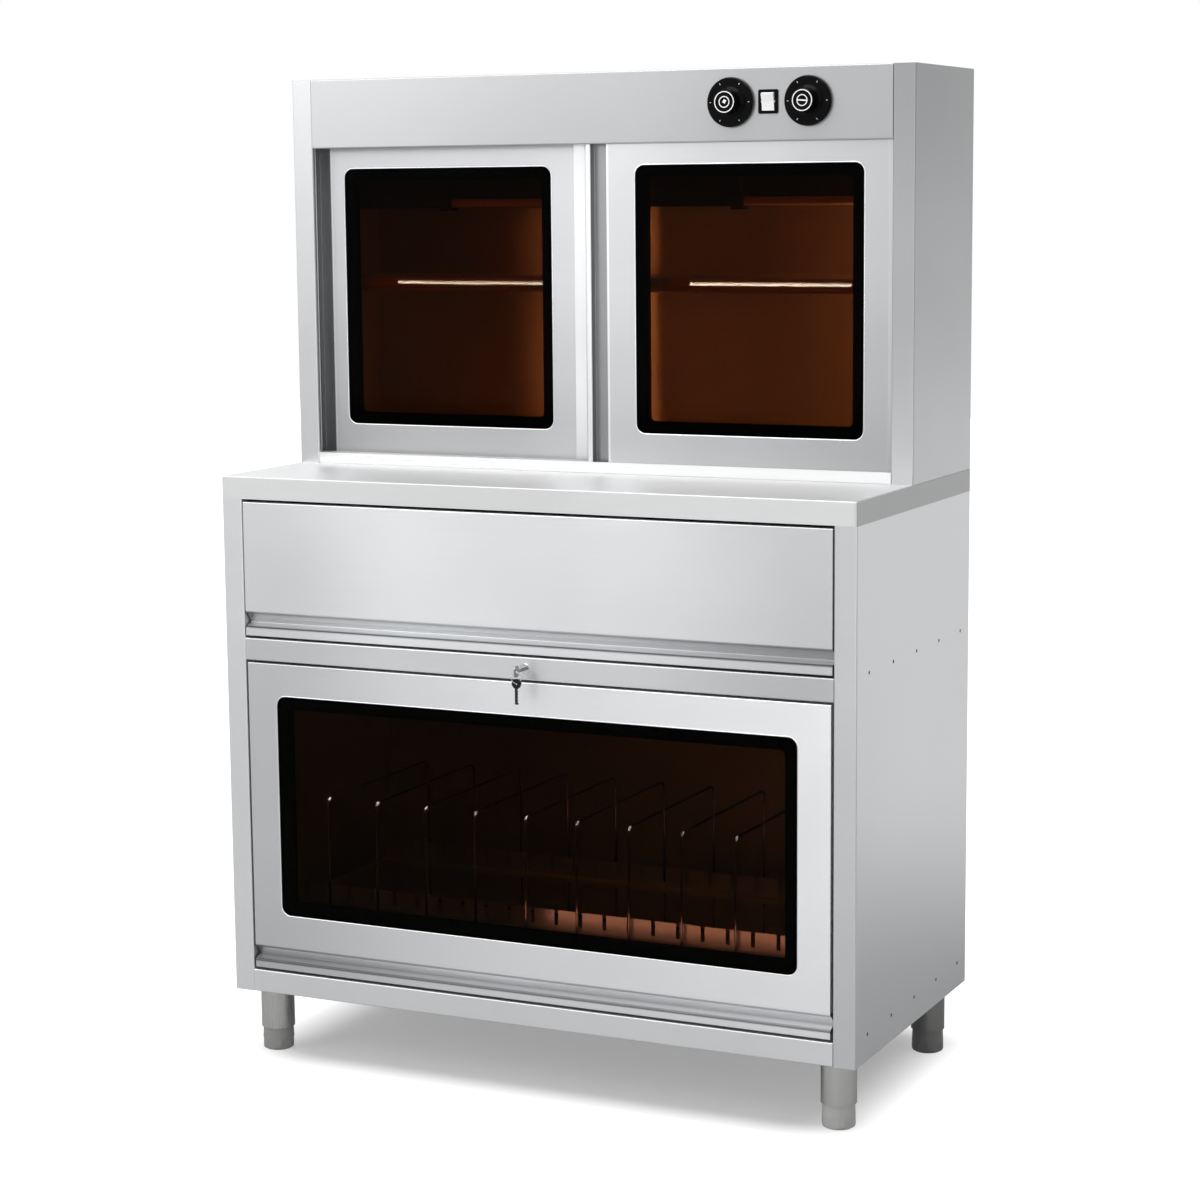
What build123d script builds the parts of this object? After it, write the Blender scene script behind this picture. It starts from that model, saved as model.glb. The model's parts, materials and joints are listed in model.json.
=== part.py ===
from build123d import *
import math
import os

# Sterilizing cabinet for kitchen utensils, folded from stainless sheet.
# Millimetres. X to the right, Y to the back, Z up. The origin is on the floor
# under the middle of the whole cabinet, key included.

# Driving sizes of the carcass
WIDTH = 1200.0
DEPTH = 580.0
HEIGHT = 1760.0
UPPER_DEPTH = 310.0
KEY_REACH = 40.0
SHEET = 1.5
FOLD = 1.75
POST = 40.0
BODY_BASE = 120.0
WORKTOP_HEIGHT = 1060.0
WORKTOP_SKIRT = 40.0
HEM = 4.5
POST_RETURN = 25.0
BACK_FLANGE = 20.0

HALF = WIDTH / 2
BACK = (DEPTH + KEY_REACH) / 2
FRONT = BACK - DEPTH
UPPER_FRONT = BACK - UPPER_DEPTH
INNER = HALF - POST
WALL = HALF - SHEET
BODY_TOP = WORKTOP_HEIGHT - WORKTOP_SKIRT
BACK_SKIN = BACK - 2 * SHEET
BEND_CLEAR = 1.2
INSIDE = WALL - BEND_CLEAR

# Rails between the drawer fronts
BOTTOM_RAIL = 41.0
MIDDLE_RAIL = 40.0
LOCK_HEIGHT = 751.0
RAIL_DEPTH = 28.0

# Drawer fronts
DRAWER_FRONT = 22.0
DRAWER_GAP = 4.0
GRIP_DEPTH = 18.0
GRIP_RISE = 7.5
LIP = 16.0
UPPER_FACE_GAP = 5.0
UPPER_RECESS = 44.0
LOWER_RECESS = 42.0
FRONT_EAR = 24.0

# Drawer runners
RUNNER_HEIGHT = 45.0
RUNNER_WIDTH = 12.7
RUNNER_REAR_GAP = 49.0
RUNNER_SHEET = 1.2
MIDDLE_RUNNER = 36.0
INNER_RUNNER = 27.0
BALL_PLAY = 0.1
RIVET_FRONT = 57.5
RIVET_REAR = 49.3
RIVET_COUNT = 5
RIVET = 6.4
RIVET_PLAY = 0.2
CAGE_LENGTH = 250.0
CAGE_SET = 5.0

# Upper cabinet
SILL = 20.0
HEADER = 124.0
DOOR_THICK = 20.0
DOOR_GAP = 4.0
DOOR_FRONT = 6.0
DOOR_OVERLAP = 20.0
DOOR_TUCK = 22.0
TRACK_WALL = 2.0
TRACK_PLAY = 1.0
DOOR_LIFT = 6.0
CEILING_DROP = 98.0
CEILING = HEIGHT - CEILING_DROP

# Glazing
GLASS = 4.0
CORNER = 18.0
GLASS_LAP = 14.0
BORDER = 22.0
DRAWER_BORDER = 24.0

# Controls
CONTROL_DROP = 58.0
CONTROL_HEIGHT = HEIGHT - CONTROL_DROP
TIMER_X = 270.0
THERMOSTAT_X = 411.0
SWITCH_X = 338.0
SKIRT_DIAMETER = 84.0
HUB_DIAMETER = 40.0
HUB_REACH = 32.0
SHAFT = 6.0
RUN = 0.06

# Feet
FOOT_X = 549.0
FOOT_FRONT = 60.0
FOOT_BACK = 60.0
SLEEVE = 61.0
SLEEVE_BOTTOM = 42.0
NECK = 55.4
NECK_START = 36.0
FOOT_BASE = 58.0
FOOT_FLATS = 54.4
FLATS_TOP = 20.0

# Rack with wire dividers
WIRE = 5.0
DIVIDERS = 10
DIVIDER_PITCH = 100.0
DIVIDER_TOP = 471.0
DIVIDER_FRONT = 90.0
DIVIDER_REAR_GAP = 54.0
SLOT_PITCH = 46.6
SLOT_WIDTH = 7.5
SLOTS = 22
SLOT_SHIFT = -17.2
COMB_TOP = 306.0
SLOT_BOTTOM = 279.0
COMB_BOTTOM = 262.0
TRAY_TOP = 269.0


def block(x0, x1, y0, y1, z0, z1):
    """A plain box between two corners."""
    middle = Pos((x0 + x1) / 2, (y0 + y1) / 2, (z0 + z1) / 2)
    return middle * Box(x1 - x0, y1 - y0, z1 - z0)


def across_plane(across, low, high):
    """The plane on which a section lies before it is drawn out along an axis."""
    if across == "x":
        return Plane.YZ.offset(low)
    if across == "y":
        return Plane.XZ.offset(-high)
    return Plane.XY.offset(low)


def folded(points, across, low, high, thickness=SHEET, radius=FOLD):
    """Sheet bent along its middle line and cut to length."""
    section = trace(FilletPolyline(*points, radius=radius), line_width=thickness)
    return extrude(across_plane(across, low, high) * section, amount=high - low)


def bar(points, across, low, high):
    """A closed section drawn out along an axis."""
    section = make_face(Polyline(*points, close=True))
    return extrude(across_plane(across, low, high) * section, amount=high - low)


def rounded_window(x0, x1, z0, z1, radius, y0, y1):
    """A block with rounded corners seen from the front."""
    section = Pos((x0 + x1) / 2, (z0 + z1) / 2) * RectangleRounded(x1 - x0, z1 - z0, radius)
    return extrude(Plane.XZ.offset(-y1) * section, amount=y1 - y0)


def rod(diameter, x, y, z, length, direction):
    """A round bar that starts at a point."""
    plane = Plane(origin=(x, y, z), z_dir=direction)
    return extrude(plane * Circle(diameter / 2), amount=length)


def pin(diameter, x, y, z, length, direction):
    """A small bar of twelve sides, for what repeats many times."""
    plane = Plane(origin=(x, y, z), z_dir=direction)
    return extrude(plane * RegularPolygon(diameter / 2, 12), amount=length)


def turned(points, x, y, z, direction):
    """A turned piece from radius and height pairs, its axis along a direction."""
    section = make_face(Polyline(*[(r, h) for r, h in points], close=True))
    solid = revolve(Plane.XZ * section, Axis.Z)
    return Plane(origin=(x, y, z), z_dir=direction) * solid


def both_sides(solid):
    """The piece and its mirror image across the middle of the cabinet."""
    return [solid, mirror(solid, about=Plane.YZ)]


def save(name, solids):
    if not isinstance(solids, list):
        solids = [solids]
    singles = [single for solid in solids for single in solid.solids()]
    shape = singles[0] if len(singles) == 1 else Compound(children=singles)
    export_step(shape, "parts/" + name + ".step")


os.makedirs("parts", exist_ok=True)

# Lower carcass

# The side is one sheet: a post with a return at the front and a flange at the back.
half_sheet = SHEET / 2
left_side = folded(
    [(-INNER - half_sheet, FRONT + POST_RETURN), (-INNER - half_sheet, FRONT + half_sheet),
     (-HALF + half_sheet, FRONT + half_sheet), (-HALF + half_sheet, BACK - half_sheet),
     (-HALF + BACK_FLANGE, BACK - half_sheet)],
    "z", BODY_BASE, BODY_TOP)
rivet_pitch = (DEPTH - RIVET_FRONT - RIVET_REAR) / (RIVET_COUNT - 1)
rivet_places = [FRONT + RIVET_FRONT + rivet_pitch * k for k in range(RIVET_COUNT)]
UPPER_RIVETS = 774.5
LOWER_RIVETS = 165.5
for rivet_z in (UPPER_RIVETS, LOWER_RIVETS):
    for rivet_y in rivet_places:
        left_side -= pin(RIVET + RIVET_PLAY, -HALF - 1, rivet_y, rivet_z, 2 * SHEET, (1, 0, 0))
save("left_side_panel", left_side)
save("right_side_panel", mirror(left_side, about=Plane.YZ))

# The bottom is one tray: its front edge is folded up into the rail below the drawers.
rail_top = BODY_BASE + BOTTOM_RAIL
bottom = folded(
    [(FRONT + POST_RETURN, rail_top - half_sheet), (FRONT + half_sheet, rail_top - half_sheet),
     (FRONT + half_sheet, BODY_BASE + half_sheet), (BACK - half_sheet, BODY_BASE + half_sheet),
     (BACK - half_sheet, BODY_BASE + BACK_FLANGE)],
    "x", -INNER, INNER)
for strip in both_sides(block(-WALL, -INNER, FRONT + POST_RETURN, BACK_SKIN, BODY_BASE, BODY_BASE + SHEET)):
    bottom += strip
for strip in both_sides(block(-WALL, -WALL + SHEET, FRONT + POST_RETURN, BACK_SKIN,
                              BODY_BASE + SHEET, BODY_BASE + BACK_FLANGE)):
    bottom += strip
FOOT_PLACES = {
    "foot_front_left": (-FOOT_X, FRONT + FOOT_FRONT),
    "foot_front_right": (FOOT_X, FRONT + FOOT_FRONT),
    "foot_rear_left": (-FOOT_X, BACK - FOOT_BACK),
    "foot_rear_right": (FOOT_X, BACK - FOOT_BACK),
}
PLATE = 70.0
for foot_x, foot_y in FOOT_PLACES.values():
    bottom += block(foot_x - PLATE / 2, foot_x + PLATE / 2, foot_y - PLATE / 2, foot_y + PLATE / 2,
                    BODY_BASE + SHEET, BODY_BASE + 2 * SHEET)
save("bottom_panel", bottom)

save("back_panel", block(-INSIDE, INSIDE, BACK_SKIN, BACK_SKIN + SHEET, BODY_BASE + SHEET + BEND_CLEAR,
                         BODY_TOP))

# Lock rail between the drawers, open at the back.
middle_top = LOCK_HEIGHT + MIDDLE_RAIL / 2
middle_low = LOCK_HEIGHT - MIDDLE_RAIL / 2
BARREL = 16.0
LOCK_FACE = 18.6
CAM_START = 24.5
CAM_THICK = 2.5
CAM_LENGTH = 36.0
CAM_WIDTH = 15.0
rail = folded(
    [(FRONT + RAIL_DEPTH, middle_top - half_sheet), (FRONT + half_sheet, middle_top - half_sheet),
     (FRONT + half_sheet, middle_low + half_sheet), (FRONT + RAIL_DEPTH, middle_low + half_sheet)],
    "x", -INNER, INNER)
rail -= rod(BARREL + 0.2, 0, FRONT - 1, LOCK_HEIGHT, 2 * SHEET, (0, 1, 0))
rail -= block(-CAM_WIDTH / 2 - 3, CAM_LENGTH + 3, FRONT + CAM_START - 2, FRONT + RAIL_DEPTH + 1,
              middle_low - 1, middle_low + 2 * SHEET)
save("middle_rail", rail)

# Sheet between the two drawer bays, flanged down at the sides and up behind the rail.
PARTITION = 757.0
partition = folded(
    [(FRONT + RAIL_DEPTH + half_sheet, middle_top), (FRONT + RAIL_DEPTH + half_sheet, PARTITION + half_sheet),
     (BACK_SKIN, PARTITION + half_sheet)],
    "x", -WALL + SHEET, WALL - SHEET)
for flange in both_sides(block(-WALL, -WALL + SHEET, FRONT + RAIL_DEPTH + 3 * SHEET, BACK_SKIN,
                               PARTITION - BACK_FLANGE, PARTITION + SHEET)):
    partition += flange
save("drawer_partition", partition)

# Worktop: a shallow folded tray turned upside down, with two hat sections welded under it.
worktop = block(-HALF, HALF, FRONT, BACK, BODY_TOP, WORKTOP_HEIGHT)
worktop = fillet(worktop.edges().filter_by(Axis.Z), 2.0)
worktop = fillet(worktop.edges().group_by(Axis.Z)[-1], 2.0)
worktop -= block(-WALL, WALL, FRONT + SHEET, BACK - SHEET, BODY_TOP + SHEET, WORKTOP_HEIGHT - SHEET)
worktop -= block(-WALL + POST / 2, WALL - POST / 2, FRONT + POST / 2, BACK - POST / 2, BODY_TOP - 1,
                 BODY_TOP + 2 * SHEET)
HAT = 60.0
HAT_HEIGHT = 25.0
for hat_y in (FRONT + DEPTH * 0.3, FRONT + DEPTH * 0.7):
    under = WORKTOP_HEIGHT - SHEET
    worktop += folded(
        [(hat_y - HAT, under - half_sheet), (hat_y - HAT / 2, under - half_sheet),
         (hat_y - HAT / 2, under - HAT_HEIGHT), (hat_y + HAT / 2, under - HAT_HEIGHT),
         (hat_y + HAT / 2, under - half_sheet), (hat_y + HAT, under - half_sheet)],
        "x", -WALL, WALL)
save("worktop", worktop)

# Legs: round sleeves under the bottom, each with an adjustable insert.
neck_bore = NECK / 2 + RUN
NECK_TOP = 90.0
sleeves = []
for foot_x, foot_y in FOOT_PLACES.values():
    sleeves.append(turned(
        [(neck_bore, SLEEVE_BOTTOM), (SLEEVE / 2, SLEEVE_BOTTOM), (SLEEVE / 2, BODY_BASE), (0, BODY_BASE),
         (0, NECK_TOP), (neck_bore, NECK_TOP)], foot_x, foot_y, 0, (0, 0, 1)))
save("leg_sleeves", sleeves)
for foot_name, (foot_x, foot_y) in FOOT_PLACES.items():
    foot = turned(
        [(0, 0), (FOOT_BASE / 2 - 5, 0), (FOOT_BASE / 2 - 1.4, 2.2), (FOOT_BASE / 2, 6),
         (NECK / 2, NECK_START), (NECK / 2, NECK_TOP), (0, NECK_TOP)], foot_x, foot_y, 0, (0, 0, 1))
    # Six flats for a wrench low on the foot
    around = Circle(FOOT_BASE) - RegularPolygon(FOOT_FLATS / 2, 6, major_radius=False)
    foot -= extrude(Pos(foot_x, foot_y, -1) * around, amount=FLATS_TOP + 1)
    save(foot_name, foot)

# Runners: a bracket on each side, then three nested channels.
UPPER_RUNNER = 806.0
LOWER_RUNNER = 197.0
runner_front = FRONT + RAIL_DEPTH
runner_back = BACK_SKIN - RUNNER_REAR_GAP


def runner_support(rivet_z, runner_z):
    """Bracket from the side panel inwards to the line of the post."""
    step_z = runner_z - RUNNER_HEIGHT / 2 - 1
    top = runner_z + RUNNER_HEIGHT / 2
    return folded(
        [(-WALL + half_sheet, rivet_z - 9), (-WALL + half_sheet, step_z),
         (-INNER - half_sheet, step_z), (-INNER - half_sheet, top)],
        "y", runner_front + 2, BACK_SKIN - 3)


supports = both_sides(runner_support(UPPER_RIVETS, UPPER_RUNNER))
supports += both_sides(runner_support(LOWER_RIVETS, LOWER_RUNNER))
save("runner_supports", supports)


def runner_parts(z, side):
    """The fixed, middle and drawer channels of one runner, at rest, from the side inwards."""
    half = RUNNER_HEIGHT / 2
    mid = MIDDLE_RUNNER / 2
    inner = INNER_RUNNER / 2
    t = RUNNER_SHEET

    def u(value):
        return side * (INNER - value)

    def member(points):
        return bar([(u(a), z + v) for a, v in points], "y", runner_front, runner_back)

    outer = member([(0, -half), (9.6, -half), (9.6, -half + t), (t, -half + t), (t, half - t),
                    (9.6, half - t), (9.6, half), (0, half)])
    middle = member([(2.4, -mid), (10.4, -mid), (10.4, -mid + t), (5 + t, -mid + t), (5 + t, mid - t),
                     (10.4, mid - t), (10.4, mid), (2.4, mid), (2.4, mid - t), (5, mid - t), (5, -mid + t),
                     (2.4, -mid + t)])
    drawer = member([(RUNNER_WIDTH, -inner), (RUNNER_WIDTH, inner), (7.4, inner), (7.4, inner - t),
                     (RUNNER_WIDTH - t, inner - t), (RUNNER_WIDTH - t, -inner + t), (7.4, -inner + t),
                     (7.4, -inner)])
    cages = []
    for up in (1, -1):
        outer_gap = sorted((z + up * mid, z + up * (half - t - BALL_PLAY)))
        inner_gap = sorted((z + up * (inner + BALL_PLAY), z + up * (mid - t)))
        xs = sorted((u(3.2), u(8.8)))
        cage_front = runner_back - CAGE_SET - CAGE_LENGTH
        cages.append(block(xs[0], xs[1], cage_front, cage_front + CAGE_LENGTH, outer_gap[0], outer_gap[1]))
        xs = sorted((u(7.8), u(10.2)))
        cage_front = runner_front + CAGE_SET
        cages.append(block(xs[0], xs[1], cage_front, cage_front + CAGE_LENGTH, inner_gap[0], inner_gap[1]))
    return outer, [middle] + cages, drawer


outer_members = []
for level, level_name in ((UPPER_RUNNER, "upper"), (LOWER_RUNNER, "lower")):
    middles = []
    drawers = []
    for side in (-1, 1):
        outer, middle, drawer = runner_parts(level, side)
        outer_members.append(outer)
        middles += middle
        drawers.append(drawer)
    save(level_name + "_middle_runners", middles)
    save(level_name + "_drawer_runners", drawers)
save("fixed_runners", outer_members)

rivets = []
for rivet_z in (UPPER_RIVETS, LOWER_RIVETS):
    for rivet_y in rivet_places:
        rivets += both_sides(pin(RIVET, -HALF, rivet_y, rivet_z, SHEET, (1, 0, 0)))
save("side_rivets", rivets)

# Drawer fronts

face_in = FRONT + half_sheet
rear_in = FRONT + DRAWER_FRONT - half_sheet


def drawer_front(x_half, low, top, face_low, lip_top):
    """Front skin with a hollow for the fingers folded into its lower edge, and side flanges."""
    ledge = lip_top - 1.25
    skin = folded(
        [(rear_in, top - 15), (rear_in, top - half_sheet), (face_in, top - half_sheet), (face_in, face_low),
         (FRONT + GRIP_DEPTH * 0.45, face_low - 5), (FRONT + GRIP_DEPTH * 0.78, face_low - 12.5),
         (FRONT + GRIP_DEPTH, ledge + GRIP_RISE),
         (face_in, ledge), (face_in, low + half_sheet), (rear_in, low + half_sheet), (rear_in, low + 8)],
        "x", -x_half, x_half, radius=1.2)
    for cheek in both_sides(block(-x_half, -x_half + SHEET, FRONT + SHEET, FRONT + DRAWER_FRONT,
                                  face_low + 2, top - SHEET)):
        skin += cheek
    for ear in both_sides(block(-x_half + SHEET, -x_half + SHEET + FRONT_EAR, FRONT + DRAWER_FRONT - SHEET,
                                FRONT + DRAWER_FRONT, face_low + 2, top - 16)):
        skin += ear
    return skin


upper_low = middle_top + DRAWER_GAP
upper_top = BODY_TOP - UPPER_FACE_GAP
upper_front = drawer_front(INNER - 2.5, upper_low, upper_top, upper_low + UPPER_RECESS, upper_low + LIP)
save("upper_drawer_front", upper_front)

BOX_SHEET = 1.2
box_half = INNER - RUNNER_WIDTH
drawer_back = runner_back - 8


def drawer_box(floor_z, top_z, rear_z):
    """Open box of thin sheet with its top edges turned in."""
    t = BOX_SHEET
    h = t / 2
    body = folded(
        [(-box_half + 12, top_z - h), (-box_half + h, top_z - h), (-box_half + h, floor_z + h),
         (box_half - h, floor_z + h), (box_half - h, top_z - h), (box_half - 12, top_z - h)],
        "y", FRONT + DRAWER_FRONT, drawer_back, thickness=t, radius=1.6)
    body += block(-box_half + t, box_half - t, drawer_back - t, drawer_back, floor_z + t, rear_z)
    front_y = FRONT + DRAWER_FRONT
    body += block(-box_half + t, box_half - t, front_y, front_y + t, floor_z + t, rear_z)
    return body


UPPER_FLOOR = 784.0
UPPER_BOX_TOP = 955.0
save("upper_drawer_box", drawer_box(UPPER_FLOOR, UPPER_BOX_TOP, UPPER_BOX_TOP - BOX_SHEET))

lower_low = rail_top + 4.5
lower_top = middle_low - DRAWER_GAP
lower_front = drawer_front(INNER - 4.5, lower_low, lower_top, lower_low + LOWER_RECESS, lower_low + LIP)
WINDOW_SIDE = 58.0
WINDOW_TOP = 57.5
WINDOW_BOTTOM = 59.5
window_half = INNER - WINDOW_SIDE - 4.0
window_low = lower_low + LOWER_RECESS + WINDOW_BOTTOM
window_high = lower_top - WINDOW_TOP
lower_front -= rounded_window(-window_half, window_half, window_low, window_high, CORNER, FRONT - 1,
                              FRONT + 2 * SHEET)
back_half = INNER - 4.5 - SHEET
back_skin = block(-back_half, back_half, FRONT + DRAWER_FRONT - SHEET, FRONT + DRAWER_FRONT,
                  lower_low + LOWER_RECESS + 4, lower_top - SHEET - 1)
back_skin -= rounded_window(-window_half, window_half, window_low, window_high, CORNER,
                            FRONT + DRAWER_FRONT - 2 * SHEET, FRONT + DRAWER_FRONT + 1)
lower_front += back_skin
save("lower_drawer_front", lower_front)


def glazing(name, x0, x1, z0, z1, front, rear, border):
    """Glass behind a skin and the black gasket frame that fills the frame behind it."""
    pane = rounded_window(x0 - GLASS_LAP, x1 + GLASS_LAP, z0 - GLASS_LAP, z1 + GLASS_LAP, CORNER,
                          front + SHEET, front + SHEET + GLASS)
    gasket = rounded_window(x0 - GLASS_LAP, x1 + GLASS_LAP, z0 - GLASS_LAP, z1 + GLASS_LAP, CORNER,
                            front + SHEET + GLASS, rear - SHEET)
    gasket -= rounded_window(x0 + border, x1 - border, z0 + border, z1 - border, CORNER / 2, front, rear + 1)
    save(name + "_glass", pane)
    save(name + "_gasket", gasket)


glazing("lower_drawer", -window_half, window_half, window_low, window_high, FRONT, FRONT + DRAWER_FRONT,
        DRAWER_BORDER)

# Low tray behind the tall front, with corner plates that hold the front upright.
TRAY_FLOOR = 172.0
tray = drawer_box(TRAY_FLOOR, TRAY_TOP, TRAY_TOP - BOX_SHEET)
GUSSET_TOP = 560.0
GUSSET_DEPTH = 130.0
gusset_y = FRONT + DRAWER_FRONT
for gusset in both_sides(bar(
        [(gusset_y, TRAY_TOP - 30), (gusset_y + GUSSET_DEPTH, TRAY_TOP - 30),
         (gusset_y + GUSSET_DEPTH, TRAY_TOP + 5),
         (gusset_y + 15, GUSSET_TOP), (gusset_y, GUSSET_TOP)],
        "x", -box_half + BOX_SHEET, -box_half + BOX_SHEET + SHEET)):
    tray += gusset
save("lower_drawer_tray", tray)

# Slotted rails on the tray, one behind the front posts of the dividers and one before the rear posts.
comb_y = FRONT + DIVIDER_FRONT + WIRE / 2 + 6
rear_post = drawer_back - DIVIDER_REAR_GAP
comb_rear_y = rear_post - WIRE / 2 - 6
first_slot = SLOT_SHIFT - SLOT_PITCH * (SLOTS - 1) / 2
slot_cutters = []
for k in range(SLOTS):
    slot_x = first_slot + SLOT_PITCH * k
    slot_cutters.append(block(slot_x - SLOT_WIDTH / 2, slot_x + SLOT_WIDTH / 2, comb_y - 5, comb_rear_y + 5,
                              SLOT_BOTTOM, COMB_TOP + 5))
combs = []
comb_half = box_half - BOX_SHEET - SHEET - 1
for wall_y, toward in ((comb_y, 1), (comb_rear_y, -1)):
    comb = folded(
        [(wall_y, COMB_TOP), (wall_y, TRAY_TOP + half_sheet), (wall_y + toward * 16, TRAY_TOP + half_sheet),
         (wall_y + toward * 16, COMB_BOTTOM)],
        "x", -comb_half, comb_half)
    comb -= slot_cutters
    notch = block(-box_half, -box_half + 13, wall_y - 20, wall_y + 20, COMB_BOTTOM - 1, TRAY_TOP)
    comb -= both_sides(notch)
    combs.append(comb)
save("slotted_rails", combs)

# Rack: ten wire dividers welded to long wires, standing on the tray floor.
tray_floor_top = TRAY_FLOOR + BOX_SHEET
front_post = FRONT + DIVIDER_FRONT
BEND = 14.0
rack = None
first_divider = -DIVIDER_PITCH * (DIVIDERS - 1) / 2
for k in range(DIVIDERS):
    divider_x = first_divider + DIVIDER_PITCH * k
    line = FilletPolyline(
        (divider_x, front_post, tray_floor_top), (divider_x, front_post, DIVIDER_TOP - WIRE / 2),
        (divider_x, rear_post, DIVIDER_TOP - WIRE / 2), (divider_x, rear_post, tray_floor_top), radius=BEND)
    section = Pos(divider_x, front_post, tray_floor_top) * RegularPolygon(WIRE / 2, 8)
    divider = sweep(section, path=line)
    rack = divider if rack is None else rack + divider
LONG_WIRE_LOW = 190.0
rack_half = -first_divider + 30
for wire_y in (front_post - WIRE * 0.8, rear_post + WIRE * 0.8):
    rack += pin(WIRE, -rack_half, wire_y, LONG_WIRE_LOW, 2 * rack_half, (1, 0, 0))
save("divider_rack", rack)

# Cam lock in the middle rail, its key and the spare key on a ring
lock_y = FRONT - 1.6
PLUG = 10.0
barrel_end = FRONT + CAM_START - 1.0
housing = turned(
    [(0, 0), (LOCK_FACE / 2 - 0.6, 0), (LOCK_FACE / 2, 0.6), (LOCK_FACE / 2, 1.6), (BARREL / 2, 1.6),
     (BARREL / 2, barrel_end - lock_y), (0, barrel_end - lock_y)], 0, lock_y, LOCK_HEIGHT, (0, 1, 0))
housing += rod(24.0, 0, FRONT + SHEET, LOCK_HEIGHT, 4.0, (0, 1, 0))
housing -= rod(PLUG + 2 * RUN, 0, lock_y - 1, LOCK_HEIGHT, 60, (0, 1, 0))
save("lock_housing", housing)

KEY_SHEET = 2.2
KEY_BLADE = 6.0
KEY_HOLE = 6.4
BOW = 19.0
BOW_LENGTH = 16.0
key_hole_y = FRONT - KEY_REACH + BOW_LENGTH / 2
plug = rod(PLUG, 0, lock_y + 0.3, LOCK_HEIGHT, FRONT + CAM_START - lock_y - 0.3, (0, 1, 0))
plug += rod(5.0, 0, FRONT + CAM_START, LOCK_HEIGHT, CAM_THICK, (0, 1, 0))
plug += rod(9.0, 0, FRONT + CAM_START + CAM_THICK, LOCK_HEIGHT, 2.5, (0, 1, 0))
key_slot = block(-KEY_SHEET / 2, KEY_SHEET / 2, lock_y - 1, FRONT + 16, LOCK_HEIGHT - KEY_BLADE / 2,
                 LOCK_HEIGHT + KEY_BLADE / 2)
plug -= key_slot
save("lock_plug", plug)
cam_outline = Pos(CAM_LENGTH / 2 - CAM_WIDTH / 4, LOCK_HEIGHT) * RectangleRounded(
    CAM_LENGTH + CAM_WIDTH / 2, CAM_WIDTH, 6.0)
cam = extrude(Plane.XZ.offset(-(FRONT + CAM_START + CAM_THICK)) * cam_outline, amount=CAM_THICK)
cam -= rod(5.0, 0, FRONT + CAM_START - 1, LOCK_HEIGHT, 10, (0, 1, 0))
save("lock_cam", cam)


def flat_key(bow_height, blade_length):
    """A key lying in its own plane: bow around the hole at the origin, blade along +X."""
    bow = RectangleRounded(BOW_LENGTH, bow_height, 5.0)
    blade = Pos(BOW_LENGTH / 2 + blade_length / 2 - 1, 0) * Rectangle(blade_length + 2, KEY_BLADE)
    shape = bow + blade - Circle(KEY_HOLE / 2)
    for share in (0.4, 0.6, 0.8):
        shape -= Pos(BOW_LENGTH / 2 + blade_length * share, KEY_BLADE / 2) * Rectangle(2.2, 2.4)
    return shape


KEY_DEPTH = 14.8
key_blade = FRONT + KEY_DEPTH - key_hole_y - BOW_LENGTH / 2
key_plane = Plane(origin=(-KEY_SHEET / 2, key_hole_y, LOCK_HEIGHT), x_dir=(0, 1, 0), z_dir=(1, 0, 0))
key = extrude(key_plane * flat_key(BOW, key_blade), amount=KEY_SHEET)
save("key", key)

# The ring hangs on the lower edge of the hole in the bow.
RING = 9.0
RING_WIRE = 1.4
RING_SEAT = 0.45
ring_top = LOCK_HEIGHT - KEY_HOLE / 2 + RING_WIRE / 2 + RING_SEAT
ring = revolve(Plane.XZ * Pos(RING, 0) * RegularPolygon(RING_WIRE / 2, 8), Axis.Z)
ring_plane = Plane(origin=(0, key_hole_y, ring_top - RING), z_dir=(1, -1, 0))
save("key_ring", ring_plane * ring)

# Upper carcass
front_in = UPPER_FRONT + half_sheet
upper_side = folded(
    [(-INNER - half_sheet, UPPER_FRONT + HEM), (-INNER - half_sheet, front_in),
     (-HALF + half_sheet, front_in), (-HALF + half_sheet, BACK - half_sheet),
     (-HALF + BACK_FLANGE, BACK - half_sheet)],
    "z", WORKTOP_HEIGHT, HEIGHT)
save("upper_left_side_panel", upper_side)
save("upper_right_side_panel", mirror(upper_side, about=Plane.YZ))

header_low = HEIGHT - HEADER
ROOF_LAP = 25.0
header = folded(
    [(UPPER_FRONT + HEM, header_low + half_sheet), (front_in, header_low + half_sheet),
     (front_in, HEIGHT - half_sheet), (UPPER_FRONT + ROOF_LAP, HEIGHT - half_sheet)],
    "x", -INNER, INNER)
SWITCH_WIDTH = 31.0
SWITCH_TALL = 35.6
SWITCH_PLAY = 0.2
switch_half = SWITCH_WIDTH / 2 + SWITCH_PLAY
switch_up = SWITCH_TALL / 2 + SWITCH_PLAY
header -= block(SWITCH_X - switch_half, SWITCH_X + switch_half, UPPER_FRONT - 1, UPPER_FRONT + 2 * SHEET,
                CONTROL_HEIGHT - switch_up, CONTROL_HEIGHT + switch_up)
BUSHING = 10.0
for knob_x in (TIMER_X, THERMOSTAT_X):
    header -= rod(BUSHING + 0.2, knob_x, UPPER_FRONT - 1, CONTROL_HEIGHT, 2 * SHEET, (0, 1, 0))
save("header_panel", header)

roof = block(-INNER, INNER, UPPER_FRONT + ROOF_LAP, BACK - SHEET, HEIGHT - SHEET, HEIGHT)
for strip in both_sides(block(-WALL, -INNER, UPPER_FRONT + HEM + 0.1, BACK_SKIN, HEIGHT - SHEET, HEIGHT)):
    roof += strip
save("roof_panel", roof)

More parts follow.
